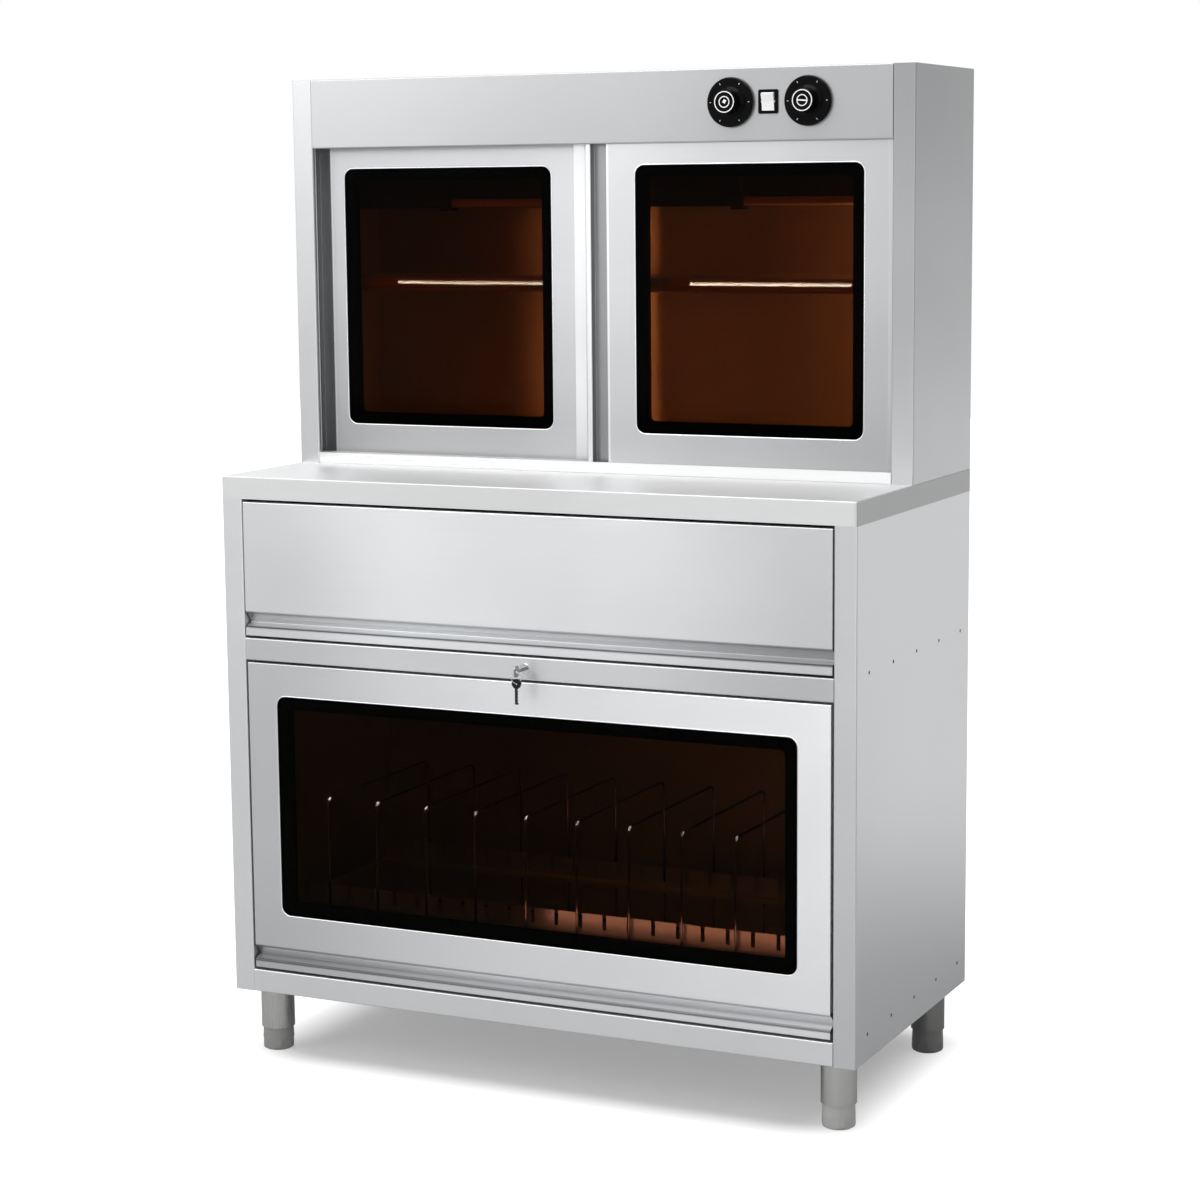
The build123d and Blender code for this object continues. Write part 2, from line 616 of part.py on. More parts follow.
SILL_BASE = 2.0
SEAM = 1.8
SEAM_DEPTH = 2.4
INLET_X = -500.0
INLET_WIDE = 28.0
INLET_TALL = 20.0
INLET_WALL = 2.0
upper_back = block(-INSIDE, INSIDE, BACK_SKIN, BACK_SKIN + SHEET, WORKTOP_HEIGHT + SILL_BASE, HEIGHT - SHEET)
inlet_half = INLET_WIDE / 2 + INLET_WALL
inlet_up = INLET_TALL / 2 + INLET_WALL
upper_back -= block(INLET_X - inlet_half, INLET_X + inlet_half, BACK_SKIN - 1, BACK + 1,
                    CONTROL_HEIGHT - inlet_up, CONTROL_HEIGHT + inlet_up)
save("upper_back_panel", upper_back)

# Double tracks for the doors
right_face = UPPER_FRONT + DOOR_FRONT
left_face = right_face + DOOR_THICK + DOOR_GAP
channel_front = right_face - TRACK_PLAY
divider_low = right_face + DOOR_THICK + TRACK_PLAY
divider_high = left_face - TRACK_PLAY
channel_back = left_face + DOOR_THICK + TRACK_PLAY
behind_post = UPPER_FRONT + HEM + 0.1
track_back = channel_back + TRACK_WALL


def double_track(base, wall_end):
    """Base sheet with three upright or hanging walls that leave two channels."""
    low, high = sorted((base, wall_end))
    thick = SILL_BASE if wall_end > base else -SILL_BASE
    plate = sorted((base, base + thick))
    track = block(-WALL, WALL, behind_post, track_back, plate[0], plate[1])
    track += block(-INNER, INNER, UPPER_FRONT, behind_post, plate[0], plate[1])
    track += block(-WALL, WALL, divider_low, divider_high, low, high)
    track += block(-WALL, WALL, channel_back, track_back, low, high)
    return track


sill_top = WORKTOP_HEIGHT + SILL
lower_track = double_track(WORKTOP_HEIGHT, sill_top)
lower_track += block(-INNER, INNER, UPPER_FRONT, channel_front - 0.4, WORKTOP_HEIGHT, sill_top)
lower_track -= block(-HALF, HALF, UPPER_FRONT - 1, UPPER_FRONT + SEAM_DEPTH, WORKTOP_HEIGHT - 1,
                     WORKTOP_HEIGHT + SEAM)
lower_track += block(-WALL, WALL, track_back, BACK_SKIN, WORKTOP_HEIGHT, WORKTOP_HEIGHT + SILL_BASE)
upper_channel = header_low + 4
upper_track = double_track(CEILING, upper_channel)
upper_track -= block(-HALF, HALF, UPPER_FRONT - 1, UPPER_FRONT + SHEET, upper_channel, CEILING + 1)
upper_track += block(-INNER, INNER, UPPER_FRONT + SHEET, channel_front - 0.4, upper_channel, CEILING)
save("door_tracks", [lower_track, upper_track])

ceiling = block(-WALL, WALL, behind_post, BACK_SKIN, CEILING, CEILING + SHEET)
CAPILLARY = 2.0
CAPILLARY_SIDE = 40.0
CAPILLARY_REACH = 180.0
BULB = 6.0
BULB_LENGTH = 82.0
BULB_TOP = 58.0
capillary_x = THERMOSTAT_X + CAPILLARY_SIDE
capillary_y = UPPER_FRONT + CAPILLARY_REACH
ceiling -= rod(CAPILLARY + 1.0, capillary_x, capillary_y, CEILING - 1, 5, (0, 0, 1))
save("chamber_ceiling", ceiling)

# Shelf with a beaded nose and rows of air slots, on ledges at the sides
SHELF_RISE = 342.0
SHELF_NOSE = 25.0
SHELF_SET = 65.0
SHELF_PLAY = 2.0
NOSE_BEAD = 3.5
LEDGE_DROP = 30.0
LEDGE_WIDTH = 22.0
AIR_SLOT = 60.0
AIR_SLOT_WIDTH = 8.0
AIR_PITCH = 80.0
AIR_ROW = 90.0
SHELF_TOP = WORKTOP_HEIGHT + SHELF_RISE
SHELF_FRONT = UPPER_FRONT + SHELF_SET
shelf_half = WALL - SHELF_PLAY
nose_low = SHELF_TOP - SHELF_NOSE + half_sheet
nose_middle = SHELF_TOP - SHELF_NOSE / 2
nose_face = SHELF_FRONT + half_sheet
shelf = folded(
    [(SHELF_FRONT + 12, nose_low), (nose_face, nose_low), (nose_face, nose_middle - 2 * NOSE_BEAD),
     (nose_face - NOSE_BEAD, nose_middle - NOSE_BEAD), (nose_face - NOSE_BEAD, nose_middle + NOSE_BEAD),
     (nose_face, nose_middle + 2 * NOSE_BEAD), (nose_face, SHELF_TOP - half_sheet),
     (BACK_SKIN - 5, SHELF_TOP - half_sheet)],
    "x", -shelf_half, shelf_half)
slot_mid = (SHELF_FRONT + BACK_SKIN) / 2
air_slot = Rectangle(AIR_SLOT, AIR_SLOT_WIDTH)
air_slot = chamfer(air_slot.vertices(), AIR_SLOT_WIDTH * 0.3)
for place in GridLocations(AIR_PITCH, AIR_ROW, 14, 2):
    shelf -= extrude(Pos(0, slot_mid, SHELF_TOP - 2 * SHEET) * place * air_slot, amount=4 * SHEET)
save("shelf", shelf)
ledge = folded(
    [(-WALL + half_sheet, SHELF_TOP - LEDGE_DROP), (-WALL + half_sheet, SHELF_TOP - SHEET - half_sheet),
     (-WALL + LEDGE_WIDTH, SHELF_TOP - SHEET - half_sheet)],
    "y", SHELF_FRONT + 16, BACK_SKIN - 6)
save("shelf_ledges", both_sides(ledge))

# Quartz heating tubes under the ceiling, each in two end holders, in front of a long baffle
TUBE = 16.0
TUBE_LENGTH = 300.0
TUBE_DROP = 127.0
TUBE_SET = 130.0
TUBE_HEIGHT = CEILING - TUBE_DROP
TUBE_Y = UPPER_FRONT + TUBE_SET
TUBE_LEFT_GAP = 214.0
TUBE_RIGHT_GAP = 26.0
BAFFLE_SET = 30.0
BAFFLE_DROP = 8.0
BAFFLE_FLANGE = 12.0
BAFFLE_PLAY = 2.0
tubes = []
holders = []
for start in (-INNER + TUBE_LEFT_GAP, INNER - TUBE_RIGHT_GAP - TUBE_LENGTH):
    tubes.append(rod(TUBE, start, TUBE_Y, TUBE_HEIGHT, TUBE_LENGTH, (1, 0, 0)))
    for end_x in (start - 14, start + TUBE_LENGTH - 8):
        holder = block(end_x, end_x + 22, TUBE_Y - 14, TUBE_Y + 14, TUBE_HEIGHT - 14, TUBE_HEIGHT + 16)
        holder -= rod(TUBE + 0.2, start, TUBE_Y, TUBE_HEIGHT, TUBE_LENGTH, (1, 0, 0))
        holder += block(end_x + 8, end_x + 14, TUBE_Y - 10, TUBE_Y + 10, TUBE_HEIGHT + 15, CEILING)
        holders.append(holder)
baffle_y = TUBE_Y + BAFFLE_SET
baffle_low = TUBE_HEIGHT - BAFFLE_DROP
holders.append(folded(
    [(baffle_y + BAFFLE_FLANGE, baffle_low), (baffle_y, baffle_low), (baffle_y, CEILING - half_sheet),
     (baffle_y + BAFFLE_FLANGE, CEILING - half_sheet)],
    "x", -WALL + BAFFLE_PLAY, WALL - BAFFLE_PLAY))
save("heating_tubes", tubes)
save("tube_holders", holders)

# Sliding doors
DOOR_LIP = 10.0
DOOR_GRIP = 31.0
GRIP_FLOOR = 16.5
GRIP_SLOPE = 7.0
PULL_LAP = 4.0
EDGE_STEP = 5.0
EDGE_SLOPE = 19.0
door_low = WORKTOP_HEIGHT + SILL_BASE + DOOR_LIFT
door_high = CEILING - SILL_BASE - 10
door_left = -INNER - DOOR_TUCK
door_right = INNER + DOOR_TUCK
overlap_left = -DOOR_OVERLAP / 2
overlap_right = DOOR_OVERLAP / 2
WINDOW_RISE = 72.0
WINDOW_DROP = 36.0
WINDOW_LOW = WORKTOP_HEIGHT + WINDOW_RISE
WINDOW_HIGH = header_low - WINDOW_DROP
LEFT_DOOR_STILE = 70.0
LEFT_WINDOW_END = 98.0
LEFT_EDGE_START = 53.5
RIGHT_DOOR_STILE = 95.0
RIGHT_WINDOW_END = 73.0
RIGHT_EDGE_START = 30.0
GLIDE_LENGTH = 40.0
GLIDE_SET = 70.0


def sliding_door(name, x0, x1, edge_x, window_x0, window_x1, face):
    """Door of two folded pieces: a finger pull along the left, a frame with a stepped right edge."""
    rear = face + DOOR_THICK
    inside = rear - SHEET
    outer = face + half_sheet
    lip_x = x0 + DOOR_LIP - half_sheet
    grip_x = x0 + DOOR_LIP + DOOR_GRIP
    joint_x = grip_x + PULL_LAP
    pull = folded(
        [(x0 + half_sheet, inside), (x0 + half_sheet, outer), (lip_x, outer), (lip_x, face + GRIP_FLOOR),
         (grip_x - GRIP_SLOPE, face + GRIP_FLOOR), (grip_x, outer), (joint_x, outer)],
        "z", door_low, door_high)
    pull += block(x0, joint_x, inside, rear, door_low, door_high)
    save(name + "_pull", pull)
    skin = folded(
        [(joint_x, outer), (edge_x, outer), (edge_x + EDGE_SLOPE, outer + EDGE_STEP),
         (x1 - half_sheet, outer + EDGE_STEP), (x1 - half_sheet, inside)],
        "z", door_low, door_high)
    skin += block(joint_x, x1, inside, rear, door_low, door_high)
    for flange_z in (door_low, door_high - SHEET):
        skin += block(joint_x, edge_x, face + SHEET, inside, flange_z, flange_z + SHEET)
    skin -= rounded_window(window_x0, window_x1, WINDOW_LOW, WINDOW_HIGH, CORNER, face - 1, rear + 1)
    save(name + "_frame", skin)
    glazing(name, window_x0, window_x1, WINDOW_LOW, WINDOW_HIGH, face, rear, BORDER)
    glides = []
    middle_y = face + DOOR_THICK / 2
    glide_low = WORKTOP_HEIGHT + SILL_BASE + 0.1
    for glide_x in (x0 + GLIDE_SET, edge_x - GLIDE_LENGTH - 10):
        glide_end = glide_x + GLIDE_LENGTH
        glides.append(block(glide_x, glide_end, middle_y - 5, middle_y + 5, glide_low, door_low))
        glides.append(block(glide_x, glide_end, middle_y - 5, middle_y + 5, door_high, door_high + 5))
    save(name + "_glides", glides)


sliding_door("left_door", door_left, overlap_right, overlap_right - LEFT_EDGE_START,
             door_left + LEFT_DOOR_STILE, overlap_right - LEFT_WINDOW_END, left_face)
sliding_door("right_door", overlap_left, door_right, door_right - RIGHT_EDGE_START,
             overlap_left + RIGHT_DOOR_STILE, door_right - RIGHT_WINDOW_END, right_face)

# Rotary controls
SKIRT_FRONT = UPPER_FRONT - 8.0
SKIRT_BACK = UPPER_FRONT - 3.5


def knob(knob_x):
    """Dished skirt with a tapered grip hub on a shaft."""
    base = SKIRT_BACK
    skirt = SKIRT_DIAMETER / 2
    hub = HUB_DIAMETER / 2
    face = HUB_REACH - 3.5
    shape = turned(
        [(SHAFT / 2, 0), (skirt, 0), (skirt, 2.6), (skirt - 2, base - SKIRT_FRONT),
         (hub + 6, base - SKIRT_FRONT), (hub + 1.5, base - SKIRT_FRONT + 3), (hub - 0.2, face - 1),
         (hub - 1, face), (SHAFT / 2, face)],
        knob_x, base, CONTROL_HEIGHT, (0, -1, 0))
    shaft = rod(SHAFT, knob_x, UPPER_FRONT - HUB_REACH + 4, CONTROL_HEIGHT, HUB_REACH + 20, (0, 1, 0))
    cap = rod(SHAFT, knob_x, UPPER_FRONT - HUB_REACH, CONTROL_HEIGHT, 4, (0, 1, 0))
    return [shape + cap, shaft]


save("timer_knob", knob(TIMER_X))
save("thermostat_knob", knob(THERMOSTAT_X))


def control_body(control_x, width, tall, deep):
    """Mechanism housing behind the header with a threaded bushing through the panel."""
    behind = UPPER_FRONT + SHEET
    body = block(control_x - width / 2, control_x + width / 2, behind, behind + 2, CONTROL_HEIGHT - tall / 2,
                 CONTROL_HEIGHT + tall / 2)
    body += block(control_x - width / 2 + 5, control_x + width / 2 - 5, behind + 2, behind + deep,
                  CONTROL_HEIGHT - tall / 2 + 5, CONTROL_HEIGHT + tall / 2 - 5)
    body += rod(BUSHING, control_x, UPPER_FRONT - 2.0, CONTROL_HEIGHT, SHEET + 3, (0, 1, 0))
    body -= rod(SHAFT + 2 * RUN, control_x, UPPER_FRONT - 5, CONTROL_HEIGHT, 29.2, (0, 1, 0))
    return body


TIMER_WIDTH = 56.0
TIMER_TALL = 60.0
TIMER_DEEP = 42.0
THERMOSTAT_SIDE = 50.0
THERMOSTAT_DEEP = 32.0
save("timer_body", control_body(TIMER_X, TIMER_WIDTH, TIMER_TALL, TIMER_DEEP))
thermostat = control_body(THERMOSTAT_X, THERMOSTAT_SIDE, THERMOSTAT_SIDE, THERMOSTAT_DEEP)
capillary_front = UPPER_FRONT + THERMOSTAT_DEEP - 2
bulb_path = FilletPolyline(
    (THERMOSTAT_X, capillary_front, CONTROL_HEIGHT), (THERMOSTAT_X, capillary_y, CONTROL_HEIGHT),
    (capillary_x, capillary_y, CONTROL_HEIGHT), (capillary_x, capillary_y, CEILING - BULB_TOP - 2), radius=12)
capillary_start = Plane(origin=(THERMOSTAT_X, capillary_front, CONTROL_HEIGHT), z_dir=(0, 1, 0))
thermostat += sweep(capillary_start * RegularPolygon(CAPILLARY / 2, 6), path=bulb_path)
thermostat += rod(BULB, capillary_x, capillary_y, CEILING - BULB_TOP - BULB_LENGTH, BULB_LENGTH, (0, 0, 1))
save("thermostat_body", thermostat)

# Rocker switch
BEZEL = 2.0
BEZEL_WIDTH = 36.0
BEZEL_TALL = 40.5
ROCKER_WIDTH = 22.0
ROCKER_RADIUS = 15.2
PIVOT_Y = UPPER_FRONT - 1.0
PIVOT_PIN = 3.0
switch_deep = 26.0
housing = block(SWITCH_X - BEZEL_WIDTH / 2, SWITCH_X + BEZEL_WIDTH / 2, UPPER_FRONT - BEZEL, UPPER_FRONT,
                CONTROL_HEIGHT - BEZEL_TALL / 2, CONTROL_HEIGHT + BEZEL_TALL / 2)
housing = fillet(housing.edges().filter_by(Axis.Y), 3.0)
housing += block(SWITCH_X - SWITCH_WIDTH / 2, SWITCH_X + SWITCH_WIDTH / 2,
                 UPPER_FRONT, UPPER_FRONT + switch_deep,
                 CONTROL_HEIGHT - SWITCH_TALL / 2, CONTROL_HEIGHT + SWITCH_TALL / 2)
housing -= block(SWITCH_X - ROCKER_WIDTH / 2 - 0.3, SWITCH_X + ROCKER_WIDTH / 2 + 0.3,
                 UPPER_FRONT - BEZEL - 1, UPPER_FRONT + 10,
                 CONTROL_HEIGHT - ROCKER_RADIUS - 0.3, CONTROL_HEIGHT + ROCKER_RADIUS + 0.3)
housing -= rod(PIVOT_PIN + 2 * RUN, SWITCH_X - ROCKER_WIDTH / 2 - 2, PIVOT_Y, CONTROL_HEIGHT,
               ROCKER_WIDTH + 4, (1, 0, 0))
save("switch_housing", housing)
TILT = 13.0
FACE_ANGLE = 17.0
rim_y = -ROCKER_RADIUS * math.sin(math.radians(FACE_ANGLE))
rim_z = ROCKER_RADIUS * math.cos(math.radians(FACE_ANGLE))
front_half = make_face(Polyline(
    (rim_y, -rim_z), (rim_y + 1.2, 0), (rim_y, rim_z), (6, 16), (6, -16), close=True))
profile = front_half & Circle(ROCKER_RADIUS)
rocker = extrude(Plane.YZ.offset(-ROCKER_WIDTH / 2) * profile, amount=ROCKER_WIDTH)
rocker += rod(PIVOT_PIN, -ROCKER_WIDTH / 2 - 1.5, 0, 0, ROCKER_WIDTH + 3, (1, 0, 0))
rocker = Pos(SWITCH_X, PIVOT_Y, CONTROL_HEIGHT) * Rot(TILT, 0, 0) * rocker
save("rocker", rocker)

# Mains socket let into the back of the control compartment, and the terminal block beside it
inlet = block(INLET_X - 25, INLET_X + 25, BACK - SHEET, BACK, CONTROL_HEIGHT - 14, CONTROL_HEIGHT + 14)
inlet += block(INLET_X - inlet_half, INLET_X + inlet_half, BACK - 25, BACK - SHEET, CONTROL_HEIGHT - inlet_up,
               CONTROL_HEIGHT + inlet_up)
inlet -= block(INLET_X - INLET_WIDE / 2, INLET_X + INLET_WIDE / 2, BACK - 18, BACK + 1,
               CONTROL_HEIGHT - INLET_TALL / 2, CONTROL_HEIGHT + INLET_TALL / 2)
for pin_x, pin_z in ((-7, -2), (0, 3), (7, -2)):
    inlet += block(INLET_X + pin_x - 1, INLET_X + pin_x + 1, BACK - 19, BACK - 4, CONTROL_HEIGHT + pin_z - 3,
                   CONTROL_HEIGHT + pin_z + 3)
terminals = block(INLET_X - 40, INLET_X + 40, BACK - 100, BACK - 80, CEILING + SHEET, CEILING + SHEET + 14)
for k in range(6):
    terminals -= pin(5.0, INLET_X - 30 + 12 * k, BACK - 90, CEILING + SHEET + 8, 8, (0, 0, 1))
save("mains_connections", [inlet, terminals])
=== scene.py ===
import json
import math

import bmesh
import bpy
from mathutils import Euler, Matrix, Vector


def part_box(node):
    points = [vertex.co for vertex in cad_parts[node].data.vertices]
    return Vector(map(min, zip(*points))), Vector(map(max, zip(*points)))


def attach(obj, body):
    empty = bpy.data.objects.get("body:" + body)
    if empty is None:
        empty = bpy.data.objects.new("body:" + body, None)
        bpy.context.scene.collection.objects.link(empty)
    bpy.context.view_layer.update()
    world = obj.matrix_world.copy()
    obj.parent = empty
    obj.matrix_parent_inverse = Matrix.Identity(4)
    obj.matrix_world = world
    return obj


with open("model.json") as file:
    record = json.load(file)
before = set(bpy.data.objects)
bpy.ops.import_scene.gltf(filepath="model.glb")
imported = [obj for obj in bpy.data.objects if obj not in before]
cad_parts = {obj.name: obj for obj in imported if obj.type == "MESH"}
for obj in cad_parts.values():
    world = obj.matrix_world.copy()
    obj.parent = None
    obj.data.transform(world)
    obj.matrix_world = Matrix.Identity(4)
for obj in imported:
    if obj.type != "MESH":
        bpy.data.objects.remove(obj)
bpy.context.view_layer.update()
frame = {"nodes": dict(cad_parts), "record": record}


# Shader groups


def new_group(name, inputs, outputs):
    """An empty shader group with named sockets and its two end nodes."""
    group = bpy.data.node_groups.new(name, "ShaderNodeTree")
    for label, kind, value in inputs:
        socket = group.interface.new_socket(label, in_out="INPUT", socket_type=kind)
        socket.default_value = value
    for label, kind in outputs:
        group.interface.new_socket(label, in_out="OUTPUT", socket_type=kind)
    start = group.nodes.new("NodeGroupInput")
    end = group.nodes.new("NodeGroupOutput")
    return group, start, end


def maths(group, operation, first, second):
    """A maths node whose two inputs are links or numbers."""
    node = group.nodes.new("ShaderNodeMath")
    node.operation = operation
    for slot, value in enumerate((first, second)):
        if isinstance(value, (int, float)):
            node.inputs[slot].default_value = value
        else:
            group.links.new(value, node.inputs[slot])
    return node.outputs[0]


GRAIN_SHARE = 0.8
CLOUD_SCALE = 2.6
ROUGHNESS_SHARE = 0.16


def make_brushed_group():
    """Fine rolled grain along one axis, with a faint cloudiness over whole sheets."""
    group, start, end = new_group(
        "Rolled grain",
        [("Colour", "NodeSocketColor", (0.6, 0.6, 0.6, 1)), ("Along", "NodeSocketVector", (4, 500, 500)),
         ("Roughness", "NodeSocketFloat", 0.3), ("Variation", "NodeSocketFloat", 0.05)],
        [("Colour", "NodeSocketColor"), ("Roughness", "NodeSocketFloat"), ("Height", "NodeSocketFloat")])
    nodes = group.nodes
    links = group.links
    place = nodes.new("ShaderNodeTexCoord")
    stretch = nodes.new("ShaderNodeVectorMath")
    stretch.operation = "MULTIPLY"
    links.new(place.outputs["Object"], stretch.inputs[0])
    links.new(start.outputs["Along"], stretch.inputs[1])
    grain = nodes.new("ShaderNodeTexNoise")
    grain.inputs["Scale"].default_value = 1.0
    grain.inputs["Detail"].default_value = 3.0
    links.new(stretch.outputs[0], grain.inputs["Vector"])
    cloud = nodes.new("ShaderNodeTexNoise")
    cloud.inputs["Scale"].default_value = CLOUD_SCALE
    cloud.inputs["Detail"].default_value = 2.0
    links.new(place.outputs["Object"], cloud.inputs["Vector"])
    grain_part = maths(group, "SUBTRACT", grain.outputs["Fac"], 0.5)
    cloud_part = maths(group, "SUBTRACT", cloud.outputs["Fac"], 0.5)
    both = maths(group, "ADD", maths(group, "MULTIPLY", grain_part, GRAIN_SHARE), cloud_part)
    shift = maths(group, "MULTIPLY", both, start.outputs["Variation"])
    factor = maths(group, "ADD", shift, 1.0)
    tint = nodes.new("ShaderNodeVectorMath")
    tint.operation = "SCALE"
    links.new(start.outputs["Colour"], tint.inputs[0])
    links.new(factor, tint.inputs["Scale"])
    links.new(tint.outputs[0], end.inputs["Colour"])
    rough_shift = maths(group, "MULTIPLY", both, ROUGHNESS_SHARE)
    links.new(maths(group, "ADD", rough_shift, start.outputs["Roughness"]), end.inputs["Roughness"])
    links.new(grain.outputs["Fac"], end.inputs["Height"])
    return group


DUST_SCALE = 30.0
DUST_ROUGHNESS = 0.2


def make_moulded_group():
    """The fine pebble of moulded plastic, enamel and rubber, with a little dust in its tone."""
    group, start, end = new_group(
        "Moulded skin",
        [("Colour", "NodeSocketColor", (0.1, 0.1, 0.1, 1)), ("Grain", "NodeSocketFloat", 900.0),
         ("Roughness", "NodeSocketFloat", 0.4), ("Variation", "NodeSocketFloat", 0.1)],
        [("Colour", "NodeSocketColor"), ("Roughness", "NodeSocketFloat"), ("Height", "NodeSocketFloat")])
    nodes = group.nodes
    links = group.links
    place = nodes.new("ShaderNodeTexCoord")
    pebble = nodes.new("ShaderNodeTexNoise")
    pebble.inputs["Detail"].default_value = 2.0
    links.new(place.outputs["Object"], pebble.inputs["Vector"])
    links.new(start.outputs["Grain"], pebble.inputs["Scale"])
    dust = nodes.new("ShaderNodeTexNoise")
    dust.inputs["Scale"].default_value = DUST_SCALE
    dust.inputs["Detail"].default_value = 4.0
    links.new(place.outputs["Object"], dust.inputs["Vector"])
    dust_part = maths(group, "SUBTRACT", dust.outputs["Fac"], 0.5)
    factor = maths(group, "ADD", maths(group, "MULTIPLY", dust_part, start.outputs["Variation"]), 1.0)
    tint = nodes.new("ShaderNodeVectorMath")
    tint.operation = "SCALE"
    links.new(start.outputs["Colour"], tint.inputs[0])
    links.new(factor, tint.inputs["Scale"])
    links.new(tint.outputs[0], end.inputs["Colour"])
    rough_shift = maths(group, "MULTIPLY", dust_part, DUST_ROUGHNESS)
    links.new(maths(group, "ADD", rough_shift, start.outputs["Roughness"]), end.inputs["Roughness"])
    links.new(pebble.outputs["Fac"], end.inputs["Height"])
    return group


ROLLED_GRAIN = make_brushed_group()
MOULDED_SKIN = make_moulded_group()
RELIEF_DEPTH = 0.0004


def shaded(name, group, values, bump, metallic=0.0, **settings):
    """A material whose colour, roughness and relief come from one of the groups."""
    material = bpy.data.materials.new(name)
    material.use_nodes = True
    nodes = material.node_tree.nodes
    links = material.node_tree.links
    shader = nodes["Principled BSDF"]
    shader.inputs["Metallic"].default_value = metallic
    for label, value in settings.items():
        shader.inputs[label.replace("_", " ")].default_value = value
    pattern = nodes.new("ShaderNodeGroup")
    pattern.node_tree = group
    for label, value in values.items():
        pattern.inputs[label].default_value = value
    relief = nodes.new("ShaderNodeBump")
    relief.inputs["Strength"].default_value = bump
    relief.inputs["Distance"].default_value = RELIEF_DEPTH
    links.new(pattern.outputs["Colour"], shader.inputs["Base Color"])
    links.new(pattern.outputs["Roughness"], shader.inputs["Roughness"])
    links.new(pattern.outputs["Height"], relief.inputs["Height"])
    links.new(relief.outputs["Normal"], shader.inputs["Normal"])
    return material


# Grain per metre along X, Y and Z: the low number is the direction of rolling.
LEVEL = (4.0, 700.0, 700.0)
DEPTHWAYS = (700.0, 4.0, 700.0)
UPRIGHT = (700.0, 700.0, 4.0)
SHEET_RELIEF = 0.05


def sheet_steel(name, tone, roughness=0.34, along=LEVEL, metallic=0.75, variation=0.05):
    """Rolled sheet or tube, with its grain along one axis."""
    colour = (tone[0], tone[1], tone[2], 1)
    values = {"Colour": colour, "Along": along, "Roughness": roughness, "Variation": variation}
    return shaded(name, ROLLED_GRAIN, values, SHEET_RELIEF, metallic)


LIGHTEST = 0.93


def paint_light_and_shade(material, tone, box, across, upright, level="X"):
    """Paints light and shade into a sheet's tone, which drifts along one level axis and from foot to
    top.
    """
    nodes = material.node_tree.nodes
    links = material.node_tree.links
    place = nodes.new("ShaderNodeTexCoord")
    split = nodes.new("ShaderNodeSeparateXYZ")
    links.new(place.outputs["Object"], split.inputs[0])
    parts = []
    for axis, stops in ((level, across), ("Z", upright)):
        reach = nodes.new("ShaderNodeMapRange")
        reach.inputs["From Min"].default_value = getattr(box[0], axis.lower())
        reach.inputs["From Max"].default_value = getattr(box[1], axis.lower())
        links.new(split.outputs[axis], reach.inputs["Value"])
        ramp = nodes.new("ShaderNodeValToRGB")
        ramp.color_ramp.interpolation = "EASE"
        for index, (position, value) in enumerate(stops):
            elements = ramp.color_ramp.elements
            stop = elements[index] if index < 2 else elements.new(position)
            stop.position = position
            stop.color = (value, value, value, 1)
        links.new(reach.outputs["Result"], ramp.inputs["Fac"])
        parts.append(ramp.outputs["Color"])
    both = nodes.new("ShaderNodeVectorMath")
    both.operation = "MULTIPLY"
    links.new(parts[0], both.inputs[0])
    links.new(parts[1], both.inputs[1])
    tinted = nodes.new("ShaderNodeVectorMath")
    tinted.operation = "MULTIPLY"
    tinted.inputs[1].default_value = tone
    links.new(both.outputs[0], tinted.inputs[0])
    limit = nodes.new("ShaderNodeVectorMath")
    limit.operation = "MINIMUM"
    limit.inputs[1].default_value = (LIGHTEST, LIGHTEST, LIGHTEST)
    links.new(tinted.outputs[0], limit.inputs[0])
    group = next(node for node in nodes if node.bl_idname == "ShaderNodeGroup")
    links.new(limit.outputs[0], group.inputs["Colour"])
    return material


def moulded(name, tone, roughness=0.4, grain=900.0, bump=0.15, variation=0.12, **settings):
    """Moulded plastic, rubber, enamel or print."""
    colour = (tone[0], tone[1], tone[2], 1)
    values = {"Colour": colour, "Grain": grain, "Roughness": roughness, "Variation": variation}
    return shaded(name, MOULDED_SKIN, values, bump, **settings)


GLASS_IOR = 1.09
SMEAR_SCALE = 5.0
SMEAR_SPREAD = 0.5


def clear_glass(name, colour, roughness=0.02):
    """Tinted clear glass, with a roughness that varies as wiped glass does."""
    material = bpy.data.materials.new(name)
    material.use_nodes = True
    nodes = material.node_tree.nodes
    links = material.node_tree.links
    shader = nodes["Principled BSDF"]
    shader.inputs["Base Color"].default_value = (colour[0], colour[1], colour[2], 1)
    shader.inputs["Transmission Weight"].default_value = 1.0
    shader.inputs["Roughness"].default_value = roughness
    shader.inputs["IOR"].default_value = GLASS_IOR
    smear = nodes.new("ShaderNodeTexNoise")
    smear.inputs["Scale"].default_value = SMEAR_SCALE
    place = nodes.new("ShaderNodeTexCoord")
    spread = nodes.new("ShaderNodeMapRange")
    spread.inputs["To Min"].default_value = roughness * (1 - SMEAR_SPREAD)
    spread.inputs["To Max"].default_value = roughness * (1 + SMEAR_SPREAD)
    links.new(place.outputs["Object"], smear.inputs["Vector"])
    links.new(smear.outputs["Fac"], spread.inputs["Value"])
    links.new(spread.outputs["Result"], shader.inputs["Roughness"])
    return material


